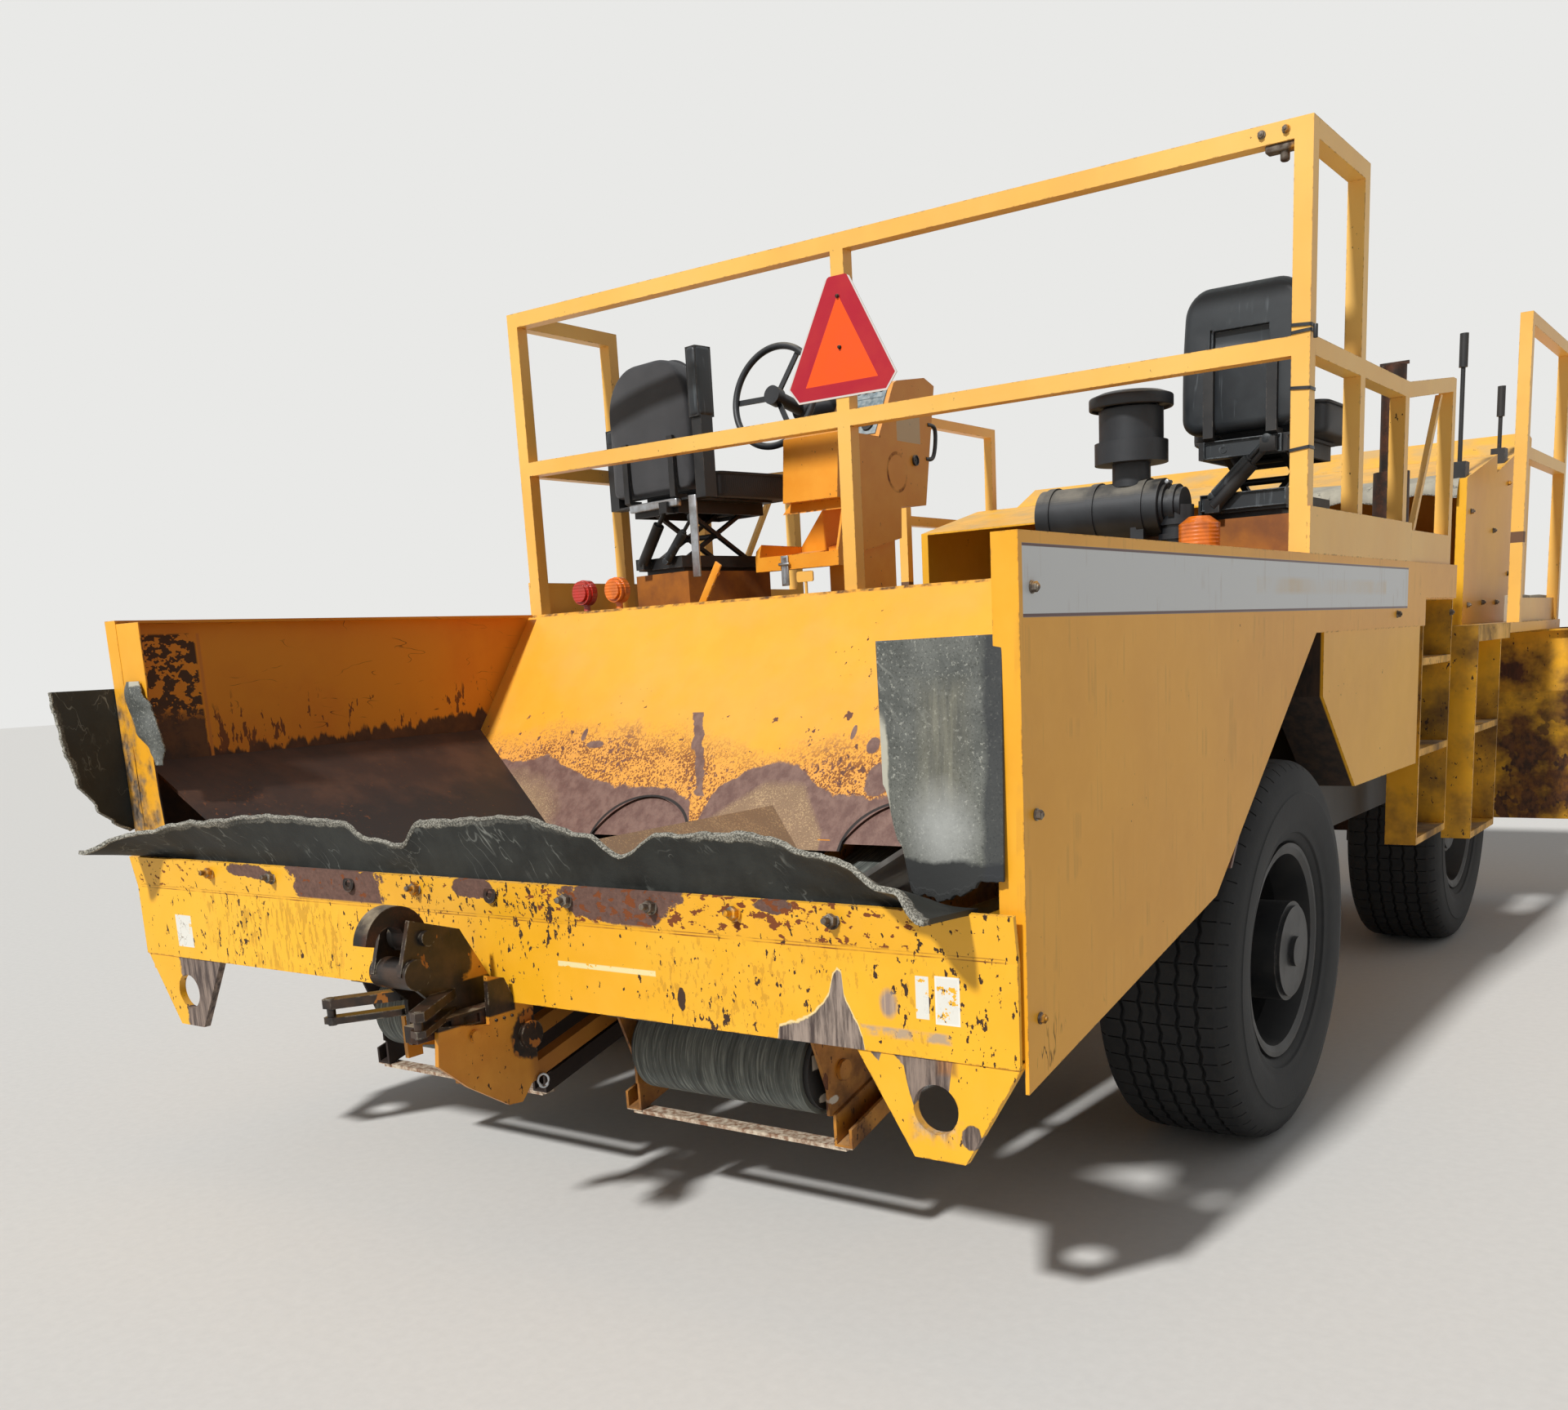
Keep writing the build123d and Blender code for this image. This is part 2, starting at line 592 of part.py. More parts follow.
def wheel(middle, sign, y, tag, hub_in, hub_reach, disc_at):
    """A tyre and its steel wheel. sign points outwards, distances across run outwards from the middle."""
    frame_plane = Plane(origin=(middle, y, tyre_radius), x_dir=(1, 0, 0), z_dir=(0, -1, 0))
    turn_axis = Axis((middle, y, tyre_radius), (1, 0, 0))
    half_tyre = tyre_profile()
    with BuildPart() as tyre:
        with BuildSketch(frame_plane):
            with BuildLine():
                Polyline(*half_tyre, *[(-across, radius) for across, radius in half_tyre[::-1]], close=True)
            make_face()
        revolve(axis=turn_axis)
    done(tyre, "tyre_" + tag)
    half_rim = rim_profile()
    seat = tyre_width / 2 - 44
    with BuildPart() as rim:
        with BuildSketch(frame_plane):
            with BuildLine():
                Polyline(*half_rim, *[(-across, radius) for across, radius in half_rim[:-1][::-1]],
                         (-seat, bead_radius - fit_gap), (seat, bead_radius - fit_gap), close=True)
            make_face()
        revolve(axis=turn_axis)

        def point(across, circle=0.0, angle=0.0):
            """A place on the wheel: distance outwards, and where on a circle round the axis."""
            turn = radians(angle)
            return (middle + sign * across, y + circle * cos(turn), tyre_radius + circle * sin(turn))

        bar("x", point(disc_at), well_radius + 5, disc_thick)
        bar("x", point((hub_in + hub_reach) / 2), hub_radius, hub_reach - hub_in)
        bar("x", point(hub_reach + 5), hub_radius - 12, 10)
        bar("x", point(hub_reach + 16), 42, 14)
        for number in range(10):
            bar("x", point(disc_at + 20, stud_circle, 36 * number), 15, 30)
        for number in range(5):
            bar("x", point(disc_at, hole_circle, 18 + 72 * number), 26, 60, mode=Mode.SUBTRACT)
        spindle_end = 45
        bar("x", point((hub_in - 10 + spindle_end) / 2), spindle_radius + fit_gap, spindle_end - hub_in + 10,
            mode=Mode.SUBTRACT)
    done(rim, "wheel_" + tag)


for side, sign in SIDES:
    wheel(sign * rear_track_x, sign, rear_axle_y, "rear_" + side, -110, 178, -72)
    wheel(sign * front_track_x, sign, front_axle_y, "front_" + side, -40, 120, 60)

# Spread hopper across the front: two sloped walls, end plates, and its brackets to the frame
hopper_back = tail_y + 5158.0
hopper_knee = 1060.0
hopper_foot_y = tail_y + 5490.0
hopper_lip = 9.0
wall_back = [
    (platform_front - 40, hopper_top - hopper_lip), (platform_front - 40, hopper_top), (hopper_back, hopper_top),
    (hopper_back, hopper_knee + 2), (hopper_foot_y, hopper_low),
    (hopper_foot_y - hopper_lip, hopper_low), (hopper_back - hopper_sheet, hopper_knee),
    (hopper_back - hopper_sheet, hopper_top - hopper_lip),
]
lip_y = front_y - 60
lip_z = 690.0
hopper_rim = front_y - 30
rib_out = hopper_rim + 22
wall_front = [
    (front_y, hopper_top - hopper_lip), (front_y, hopper_top), (hopper_rim, hopper_top),
    (hopper_rim - hopper_sheet, hopper_top - hopper_lip), (hopper_rim - hopper_sheet, 900),
    (lip_y - 12, lip_z), (lip_y - 3, lip_z), (hopper_rim, 898), (hopper_rim, hopper_top - hopper_lip),
]
end_back = hopper_back - hopper_sheet
end_low = hopper_low - 13
end_outline = [(end_back, hopper_top), (front_y, hopper_top), (front_y, 600), (roll_y + 80, end_low),
               (hopper_foot_y - 40, end_low), (end_back, 960)]
end_outer = hopper_half + hopper_end
with BuildPart() as spread_hopper:
    side_shape(wall_back, -hopper_half, hopper_half)
    side_shape(wall_front, -hopper_half, hopper_half)
    for sign in (-1, 1):
        side_shape(end_outline, *span(sign, hopper_half, end_outer))
        x0, x1 = span(sign, end_outer, end_outer + hopper_rib)
        block((x0, end_back, hopper_top - 12), (x1, front_y, hopper_top))
        x0, x1 = span(sign, front_rail_x - 40, front_rail_x + 40)
        side_shape([(frame_front, frame_low), (frame_front, frame_top), (hopper_back + 155, frame_top),
                    (hopper_back + 234, frame_low)], x0, x1)
    # Upright ribs on the outside of the front wall
    for number in range(-4, 5):
        x = number * hopper_half / 4.5
        side_shape([(hopper_rim, hopper_top - hopper_lip), (hopper_rim, 905), (rib_out, 930),
                    (rib_out, hopper_top - hopper_lip)], x - 5, x + 5)
    for y, z, radius in ((roll_y, roll_z, roll_shaft), (gate_pin_y, gate_pin_z, gate_pin)):
        bar("x", (0, y, z), radius + fit_gap, 2 * (end_outer + 10), mode=Mode.SUBTRACT)
done(spread_hopper, "spread_hopper")

# Fluted spread roll on its shaft
flutes = 12
with BuildPart() as spread_roll:
    bar("x", (0, roll_y, roll_z), roll_radius - 8, 2 * (hopper_half - 8))
    for flute in range(flutes):
        turn = 360 / flutes * flute
        with Locations(Location((0, roll_y, roll_z), (turn, 0, 0))):
            with Locations((0, 0, roll_radius - 10)):
                Box(2 * (hopper_half - 8), 12, 20)
    bar("x", (0, roll_y, roll_z), roll_shaft, 2 * (hopper_half + hopper_end))
done(spread_roll, "spread_roll")

# Bank of discharge gates hung on one pin in front of the roll
gates = 12
gate_wide = (2 * hopper_half - 20) / gates
gate_split = 2.5
gate_side = [
    (gate_pin_y - 10, gate_pin_z), (gate_pin_y + 6, gate_pin_z), (gate_pin_y + 2, gate_pin_z - 100),
    (roll_y + 96, hopper_low), (roll_y + 88, hopper_low), (gate_pin_y - 8, gate_pin_z - 100),
]
with BuildPart() as gate_bank:
    bar("x", (0, gate_pin_y, gate_pin_z), gate_pin, 2 * end_outer)
    for number in range(gates):
        x0 = -hopper_half + 10 + number * gate_wide
        side_shape(gate_side, x0 + gate_split, x0 + gate_wide - gate_split)
done(gate_bank, "gate_bank")

# Hood over the belts' heads: end plates, a sloping back, a step, a rising top and a front skirt
hood_front = front_y
hood_front_z = 2240.0
hood_peak_z = 2260.0
hood_bend = tail_y + 5401.0
hood_bend_z = 2150.0
skirt_low = 1500.0
hood_inner = hood_x - hood_sheet
hood_side = [
    (hood_back, platform_z), (hood_back, hood_back_z), (hood_step, hood_step_z), (hood_step + 4, hood_low_z),
    (hood_bend, hood_bend_z), (hood_peak, hood_peak_z), (hood_front, hood_front_z), (hood_front, skirt_low),
    (wing_front, platform_z),
]
with BuildPart() as discharge_hood:
    for sign in (-1, 1):
        side_shape(hood_side, *span(sign, hood_inner, hood_x))
        # Doubler round the opening, flanged out at the rear
        x0, x1 = span(sign, hood_inner - 30, hood_inner)
        block((x0, hood_back, platform_z), (x1, hood_back + hood_sheet, hood_back_z))
    side_shape([(hood_back, hood_back_z - hood_sheet), (hood_back, hood_back_z), (hood_step, hood_step_z),
                (hood_step, hood_step_z - hood_sheet)], -hood_inner, hood_inner)
    side_shape([(hood_step, hood_low_z - hood_sheet), (hood_step, hood_low_z), (hood_bend, hood_bend_z),
                (hood_peak, hood_peak_z), (hood_peak, hood_peak_z - 10), (hood_bend, hood_bend_z - hood_sheet)],
               -hood_inner, hood_inner)
    side_shape([(hood_peak, hood_peak_z - 10), (hood_peak, hood_peak_z), (hood_front, hood_front_z),
                (hood_front, skirt_low), (hood_front - hood_sheet, skirt_low),
                (hood_front - hood_sheet, hood_front_z - 10)], -hood_inner, hood_inner)
    block((-hood_inner, hood_step - 4, hood_low_z - hood_sheet), (hood_inner, hood_step + 4, hood_step_z))
done(discharge_hood, "discharge_hood")

# Engine on the right rear rail, its exhaust stack and intake
engine_x = (body_half - 648, body_half - 163)
engine_y = (tail_y + 2340, tail_y + 3340)
with BuildPart() as engine_block:
    block((engine_x[0], engine_y[0], frame_top), (engine_x[1], engine_y[1], post_top))
done(engine_block, "engine_block")

stack_x = body_half - 218
stack_y = tail_y + 3390
stack_top = 2300.0
with BuildPart() as exhaust_stack:
    bar("z", (stack_x, stack_y, bin_top + 170), 62, 340)
    bar("z", (stack_x, stack_y, (bin_top + stack_top) / 2), 42, stack_top - bin_top)
    block((stack_x - 50, stack_y - 4, stack_top), (stack_x + 50, stack_y + 4, stack_top + 12))
done(exhaust_stack, "exhaust_stack")

# Operator seats: box pedestal, scissor suspension with its damper, pan, back frame, cushions and armrests
# Columns: side, turning point x, turned by, half width of the back, its corner radius, its top,
# half width of the cushion, height of the pan, sides with a raised armrest, sides with a lowered one
SEATS = (
    ("left", 398 - body_half, -10.0, 225.0, 170.0, 2499.0, 235.0, 1990.0, (1,), (-1,)),
    ("right", body_half - 298, 0.0, 182.0, 60.0, 2370.0, 215.0, 1950.0, (), ()),
)
seat_turn_y = tail_y + 2230
seat_behind = 230.0         # rear face of a back, behind the turning point
back_thick = 105.0
cushion_long = 455.0
cushion_thick = 110.0
pedestal_half = 155.0
channel_half = 130.0
channel_high = 42.0
scissor_low = bin_top + 148 + channel_high
scissor_bar = 20.0
arm_wide = 52.0
arm_deep = 75.0
for side, seat_x, turned, back_half, corner, seat_top, cushion_half, pan_z, raised, lowered in SEATS:
    way = radians(turned)
    seat_plane = Plane(origin=(seat_x, seat_turn_y, 0), x_dir=(cos(way), sin(way), 0), z_dir=(0, 0, 1))
    rear = -seat_behind
    scissor_high = pan_z - 8 - channel_high

    def seat_side(points, x_low, x_high):
        """A plate of the seat whose outline is given as (distance ahead of the turning point, height)."""
        plane = Plane(origin=seat_plane.from_local_coords((x_low, 0, 0)), x_dir=seat_plane.y_dir,
                      z_dir=seat_plane.x_dir)
        with BuildSketch(plane) as outline:
            with BuildLine():
                Polyline(*points, close=True)
            make_face()
        extrude(to_extrude=outline.sketch, amount=x_high - x_low)

    with BuildPart(seat_plane) as seat_frame:
        block((-pedestal_half, rear + 20, bin_top), (pedestal_half, rear + 440, bin_top + 132))
        block((-channel_half + 20, rear + 40, bin_top + 132), (channel_half - 20, rear + 420, bin_top + 148))
        for low in (scissor_low - channel_high, scissor_high):
            for x in (-channel_half, channel_half - 12):
                block((x, rear + 15, low), (x + 12, rear + 445, low + channel_high))
            for y in (rear + 15, rear + 433):
                block((-channel_half, y, low), (channel_half, y + 12, low + channel_high))
        block((-back_half + 40, rear + 15, pan_z - 8), (back_half - 40, rear + 445, pan_z))
        block((-channel_half, rear + 15, scissor_low - channel_high),
              (channel_half, rear + 445, scissor_low - channel_high + 6))
        # Crossed bars on each side, and the bolt where they cross
        for x in (-channel_half + 24, channel_half - 68):
            seat_side([(rear + 40, scissor_low - 26), (rear + 66, scissor_low - 26),
                       (rear + 420, scissor_high + 26), (rear + 394, scissor_high + 26)], x, x + scissor_bar)
            seat_side([(rear + 394, scissor_low - 26), (rear + 420, scissor_low - 26),
                       (rear + 66, scissor_high + 26), (rear + 40, scissor_high + 26)],
                      x + 24, x + 24 + scissor_bar)
        bar("x", (0, rear + 230, (scissor_low + scissor_high) / 2), 10, 2 * channel_half - 48)
        for z in (scissor_low - 20, scissor_high + 20):
            for y in (rear + 53, rear + 407):
                bar("x", (0, y, z), 8, 2 * channel_half - 20)
        # Damper across the rear
        with BuildLine(mode=Mode.PRIVATE) as damper:
            Line(seat_plane.from_local_coords((channel_half - 45, rear - 8, scissor_high + 20)),
                 seat_plane.from_local_coords((-channel_half + 55, rear - 8, scissor_low - 20)))
        for near, far, radius in ((0.0, 0.35, 9), (0.3, 1.0, 21)):
            start, end = damper.line @ near, damper.line @ far
            with BuildSketch(Plane(origin=start, z_dir=end - start)) as tube_end:
                Circle(radius)
            extrude(to_extrude=tube_end.sketch, amount=(end - start).length)
        for x, z in ((channel_half - 45, scissor_high + 20), (-channel_half + 55, scissor_low - 20)):
            block((x - 22, rear - 24, z - 20), (x + 22, rear + 20, z + 20))
        # Brackets up to the back
        for x in (-back_half + 75, back_half - 105):
            seat_side([(rear + 15, pan_z - 8), (rear + 45, pan_z), (rear + 45, pan_z + 14),
                       (rear - fit_gap, pan_z + 14), (rear - fit_gap, pan_z + 220), (rear - 14, pan_z + 220),
                       (rear - 14, pan_z + 6)], x, x + 30)
        for sign in raised + lowered:
            x0, x1 = span(sign, back_half + 4, back_half + 4 + arm_wide)
            x2, x3 = span(sign, back_half - 40, back_half + 4 + arm_wide)
            block((x0, rear + 20, pan_z - 8), (x1, rear + 75, pan_z + 290))
            block((x2, rear + 20, pan_z - 8), (x3, rear + 75, pan_z))
            if sign in raised:
                block((x0, rear + 10, pan_z + 270), (x1, rear + 10 + arm_deep, seat_top))
            else:
                block((x0, rear + 20, pan_z + 235), (x1, rear + 360, pan_z + 290))
    done(seat_frame, "seat_frame_" + side)
    with BuildPart(seat_plane) as seat_pads:
        block((-cushion_half, rear + back_thick + 8, pan_z + fit_gap),
              (cushion_half, rear + back_thick + 8 + cushion_long, pan_z + cushion_thick))
        back_plane = Plane(origin=seat_plane.from_local_coords((0, rear, 0)), x_dir=seat_plane.x_dir,
                           z_dir=-seat_plane.y_dir)
        back_low = pan_z + 20
        with BuildSketch(back_plane) as back:
            with Locations((0, (back_low + seat_top) / 2)):
                Rectangle(2 * back_half, seat_top - back_low)
            fillet(back.vertices().group_by(Axis.Z)[-1], corner)
        extrude(to_extrude=back.sketch, amount=-back_thick)
    done(seat_pads, "seat_pads_" + side)

# Console between the seats: cabinet with a slanted instrument face, an open compartment over a tray, and a leg
console_left = 648 - body_half
console_right = console_left + 380
console_top_left = console_left + 135
console_wall = 10.0
console_side = along([
    (2273, 2183), (2693, 2405), (2900, 2438), (2975, 2415), (2885, 1956), (2695, 1942), (2688, 1824),
    (2276, 1741), (2276, 1715), (2240, 1715), (2240, 1770), (2300, 1955), (2250, 1955),
])
compartment = along([(2200, 1782), (2305, 1944), (2520, 1944), (2520, 1795), (2290, 1750)])
console_leg = along([(2430, bin_top), (2670, bin_top), (2670, 1850), (2430, 1800)])
with BuildPart() as console:
    side_shape(console_side, console_left, console_right)
    side_shape(compartment, console_left + 2 * console_wall, console_right - console_wall, mode=Mode.SUBTRACT)
    # The left side narrows towards the top
    cross_shape([(console_left - 1, 1790), (console_left - 1, 2500), (console_top_left, 2500),
                 (console_top_left, 1955)],
                tail_y + 2100, tail_y + 3100, mode=Mode.SUBTRACT)
    side_shape(console_leg, console_right - 170, console_right - 20)
done(console, "console")

# Steering wheel facing the left seat, its column held by an arm from the console
hub = Vector(console_left - 50, tail_y + 2490, 2385)
wheel_radius = 190.0
column_tilt = 10.0
column_long = 190.0
column_way = Vector(0, cos(radians(column_tilt)), -sin(radians(column_tilt)))
column_end = hub + column_way * column_long
arm_end_x = console_top_left - fit_gap
with BuildPart() as steering_wheel:
    with Locations(Plane(origin=hub, x_dir=(1, 0, 0), z_dir=column_way)):
        Torus(wheel_radius, 13)
        Cylinder(36, 44)
    with Locations(Plane(origin=hub + column_way * 12, x_dir=(1, 0, 0), z_dir=column_way)):
        for turn in (60, 180, 300):
            with Locations(Location((0, 0, 0), (0, 0, turn))):
                with Locations((wheel_radius / 2, 0, 0)):
                    Box(wheel_radius, 20, 9)
    with Locations(Plane(origin=(hub + column_end) / 2, x_dir=(1, 0, 0), z_dir=column_way)):
        Cylinder(26, column_long)
    bar("x", ((column_end.X - 30 + arm_end_x) / 2, column_end.Y, column_end.Z), 34,
        arm_end_x - column_end.X + 30)
done(steering_wheel, "steering_wheel")

# Air cleaner lying across the deck: canister with clamp bands, corrugated elbow, bowl pre-cleaner and saddles
cleaner_y = tail_y + 1850
cleaner_z = 1766.0
cleaner_radius = 80.0
bowl_x = body_half - 568
elbow_x = bowl_x + 140
intake_x = bowl_x + 105
with BuildPart() as air_cleaner:
    bar("x", (bowl_x - 85, cleaner_y, cleaner_z), cleaner_radius, 380)
    for x in (bowl_x - 240, bowl_x - 100, bowl_x + 50):
        bar("x", (x, cleaner_y, cleaner_z), cleaner_radius + 5, 22)
    # Columns: distance along the elbow, its length, its radius
    for near, long, radius in ((0, 20, 64), (18, 16, 52), (34, 16, 60), (50, 16, 50)):
        bar("x", (intake_x + near, cleaner_y, cleaner_z), radius, long)
    bar("z", (elbow_x, cleaner_y, (bin_top + cleaner_z) / 2), 46, cleaner_z - bin_top)
    for z in (1640, 1680, 1720):
        bar("z", (elbow_x, cleaner_y, z), 54, 16)
    bar("z", (bowl_x, cleaner_y, 1870), 55, 80)
    bar("z", (bowl_x, cleaner_y, 1925), 105, 60)
    bar("z", (bowl_x, cleaner_y, 2000), 92, 90)
    with Locations((bowl_x, cleaner_y, 2055)):
        Cone(92, 60, 30)
    for x in (bowl_x - 220, bowl_x + 20):
        block((x, cleaner_y - 60, bin_top), (x + 40, cleaner_y + 60, cleaner_z - 40))
done(air_cleaner, "air_cleaner")

# Slow-vehicle emblem on the middle post, a triangle with its corners cut
emblem_z = 2358.0
with BuildPart() as emblem:
    cross_shape([(-203, emblem_z - 130), (-165, emblem_z - 178), (165, emblem_z - 178), (203, emblem_z - 130),
                 (45, emblem_z + 170), (30, emblem_z + 178), (-30, emblem_z + 178), (-45, emblem_z + 170)],
                rear_guard_y - 3, rear_guard_y)
done(emblem, "emblem")

# Lamps on the deck: red and amber ones on stalks at the left, a dome beacon at the right
lamp_y = deck_back + 30
lamp_z = bin_top + 66
beacon_x = body_half - 336
beacon_y = tail_y + 1775
with BuildPart() as lamps:
    for x in (264 - body_half, 425 - body_half):
        bar("z", (x, lamp_y, bin_top + 12), 12, 24)
        bar("y", (x, lamp_y, lamp_z), 46, 26)
        bar("y", (x, lamp_y - 21, lamp_z), 42, 16)
        bar("y", (x, lamp_y - 33, lamp_z), 32, 10)
    bar("z", (beacon_x, beacon_y, bin_top + 22), 50, 44)
    bar("z", (beacon_x, beacon_y, bin_top + 76), 57, 64)
    with Locations((beacon_x, beacon_y, bin_top + 118)):
        Cone(57, 30, 20)
done(lamps, "lamps")

# Levers on the hood's right edge. Columns: station ahead of the tail, length
LEVERS = ((4345, 500), (5160, 270))
lever_x = hood_x - 40
lever_base = 50.0
grip_long = 130.0


def hood_top(y):
    """Height of the hood's top plate over a station."""
    if y < hood_step:
        return hood_back_z + (y - hood_back) * (hood_step_z - hood_back_z) / (hood_step - hood_back)
    return hood_low_z + (y - hood_step) * (hood_bend_z - hood_low_z) / (hood_bend - hood_step)


with BuildPart() as control_levers:
    for ahead, length in LEVERS:
        near, far = tail_y + ahead - 12, tail_y + ahead + 60
        foot = hood_top(far) + lever_base
        side_shape([(near, hood_top(near)), (far, hood_top(far)), (far, foot), (near, foot)],
                   lever_x - 30, lever_x + 30)
        bar("z", (lever_x, near + 32, foot + length / 2), 9, length)
        bar("z", (lever_x, near + 32, foot + length - grip_long / 2), 17, grip_long)
done(control_levers, "control_levers")

# Truck hitch: two side plates on the beam with a foot below, the fork arms that guide the truck's bar,
# pivot tubes, a strut forward to a tie between the conveyors, and the claw hook on its pin
plate_x = 40.0
plate_thick = 12.0
plate_outer = plate_x + plate_thick
foot_x = 100.0
under_beam = beam_low
hitch_side = [
    (tail_y - 250, 869), (tail_y - 110, 825), (face_y, 676), (face_y, under_beam), (tail_y + 60, under_beam),
    (tail_y + 60, 560), (tail_y - 30, 520), (tail_y - 205, 560), (tail_y - 205, 667), (tail_y - 290, 748),
]
foot_side = [
    (tail_y - 94, 715), (tail_y - 43, 700), (face_y, 650), (face_y, under_beam), (tail_y + 40, under_beam),
    (tail_y + 40, 455), (tail_y - 20, hitch_foot), (tail_y - 62, hitch_foot + 4), (tail_y - 180, 470),
    (tail_y - 260, 540), (tail_y - 250, 630), (tail_y - 100, 600),
]
hook_y = tail_y - 212.0
hook_z = 822.0
strut_angle = 15.0
strut_end = tail_y + 600.0
tie_half = belt_x - trough_half - skin
hook_out = tail_y - reach_behind
fork_arm = [(plate_outer, tail_y - 215), (135, tail_y - 345), (160, tail_y - 349), (168, tail_y - 330),
            (plate_outer, tail_y - 140)]
with BuildPart() as hitch_frame:
    for sign in (-1, 1):
        side_shape(hitch_side, *span(sign, plate_x, plate_outer))
        side_shape(foot_side, *span(sign, foot_x, foot_x + plate_thick))
        # Fork arms, an upper and a lower one, with the bolt through their tips
        for low, high in ((668, 690), (632, 648)):
            top_shape([(sign * x, y) for x, y in fork_arm], low, high)
        bar("z", (sign * 150, tail_y - 334, 660), 10, 64)
        # Strut forward from the foot
        x0, x1 = span(sign, foot_x - 36, foot_x)
        rise = (strut_end - tail_y + 20) * tan(radians(strut_angle))
        side_shape([(tail_y - 20, hitch_foot + 20), (strut_end, hitch_foot + 20 + rise),
                    (strut_end, hitch_foot + 62 + rise), (tail_y - 20, hitch_foot + 62)], x0, x1)
    bar("x", (0, tail_y - 250, 745), 36, 2 * plate_outer + 20)
    bar("x", (0, tail_y + 20, 548), 34, 2 * (foot_x + plate_thick) + 24)
    bar("x", (0, tail_y - 150, 585), 14, 2 * (foot_x + plate_thick) + 20)
    bar("x", (0, hook_y, hook_z), hook_pin, 2 * plate_outer + 26)
    tie_z = hitch_foot + 41 + rise
    bar("x", (0, strut_end, tie_z), 28, 2 * tie_half)
done(hitch_frame, "hitch_frame")
with BuildPart() as hitch_hook:
    with BuildSketch(Plane.YZ.offset(-22)) as claw:
        with BuildLine():
            Line((hook_y - 26, hook_z - 27), (hook_y + 24, hook_z - 27))
            Line((hook_y + 24, hook_z - 27), (hook_y + 28, hook_z + 28))
            ThreePointArc((hook_y + 28, hook_z + 28), (tail_y - 262, 902), (hook_out, hook_z + 4))
            Line((hook_out, hook_z + 4), (hook_out + 25, hook_z - 2))
            ThreePointArc((hook_out + 25, hook_z - 2), (tail_y - 282, 858), (hook_y - 33, hook_z + 14))
            Line((hook_y - 33, hook_z + 14), (hook_y - 26, hook_z - 27))
        make_face()
    extrude(to_extrude=claw.sketch, amount=44)
    bar("x", (0, hook_y, hook_z), 34, 2 * (plate_x - 3))
    bar("x", (0, hook_y, hook_z), hook_pin + fit_gap, 100, mode=Mode.SUBTRACT)
done(hitch_hook, "hitch_hook")
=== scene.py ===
"""Looks of the chip spreader: paint, rust, rubber, tread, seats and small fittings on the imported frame.

Metres, in the frame of the CAD model: X to the right, Y forwards, Z up. The tail, with the receiving bin, is at -Y.
"""
from math import atan2, cos, hypot, pi, radians, sin

import bmesh
import bpy
from mathutils import Matrix, Vector


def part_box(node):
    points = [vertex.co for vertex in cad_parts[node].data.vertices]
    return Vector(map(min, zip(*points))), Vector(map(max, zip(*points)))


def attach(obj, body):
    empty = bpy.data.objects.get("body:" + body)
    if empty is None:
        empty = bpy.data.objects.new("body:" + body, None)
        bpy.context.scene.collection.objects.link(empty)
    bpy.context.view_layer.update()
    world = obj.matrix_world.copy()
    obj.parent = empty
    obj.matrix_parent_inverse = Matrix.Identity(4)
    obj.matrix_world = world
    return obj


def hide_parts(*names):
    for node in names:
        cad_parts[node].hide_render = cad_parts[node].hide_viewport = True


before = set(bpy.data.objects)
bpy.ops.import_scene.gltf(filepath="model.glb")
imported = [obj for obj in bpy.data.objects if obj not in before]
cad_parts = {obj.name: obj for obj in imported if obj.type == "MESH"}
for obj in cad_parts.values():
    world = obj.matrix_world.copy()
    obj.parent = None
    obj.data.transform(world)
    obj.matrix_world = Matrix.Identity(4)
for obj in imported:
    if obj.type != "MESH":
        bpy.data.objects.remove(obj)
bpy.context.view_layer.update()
bpy.ops.object.select_all(action="DESELECT")

CHASSIS = "chassis"

# Camera: it stands behind the right rear corner, at a walker's eye level
CAMERA_AT = (2.6235, -5.0116, 1.4088)
CAMERA_YAW, CAMERA_PITCH, CAMERA_ROLL = -35.6, -11.7, -3.0      # degrees; yaw turns from +Y towards -X
CAMERA_FOCAL = 1769.9                                           # pixels, for an image 1920 wide
CAMERA_CENTRE = (993.5, 1165.3)                                 # pixel on the lens axis
IMAGE_SIZE = (1920, 1727)
SENSOR = 36.0


def show(thing):
    """Puts a new object in the scene."""
    bpy.context.scene.collection.objects.link(thing)


def make_camera():
    """The photograph's viewing angle, with its framing done by a small shift."""
    yaw, pitch, roll = radians(CAMERA_YAW), radians(CAMERA_PITCH), radians(CAMERA_ROLL)
    ahead = Vector((sin(yaw) * cos(pitch), cos(yaw) * cos(pitch), sin(pitch)))
    right = ahead.cross(Vector((0, 0, 1))).normalized()
    up = right.cross(ahead)
    right, up = cos(roll) * right + sin(roll) * up, -sin(roll) * right + cos(roll) * up
    data = bpy.data.cameras.new("camera")
    camera = bpy.data.objects.new("camera", data)
    show(camera)
    camera.matrix_world = Matrix.Translation(CAMERA_AT) @ Matrix((right, up, -ahead)).transposed().to_4x4()
    data.sensor_width = SENSOR
    data.lens = CAMERA_FOCAL * SENSOR / IMAGE_SIZE[0]
    data.shift_x = (IMAGE_SIZE[0] / 2 - CAMERA_CENTRE[0]) / IMAGE_SIZE[0]
    data.shift_y = (CAMERA_CENTRE[1] - IMAGE_SIZE[1] / 2) / IMAGE_SIZE[0]
    data.clip_start, data.clip_end = 0.05, 200
    bpy.context.scene.camera = camera


make_camera()

# Light and stage
SUN_WAY = (0.03, 0.60, -0.53)        # the way the key light travels: from behind the tail, above
SUN_POWER, SUN_ANGLE = 3.3, 4.0     # watts a square metre, degrees across
SKY_POWER = 0.26
FLOOR_SIZE = 120.0


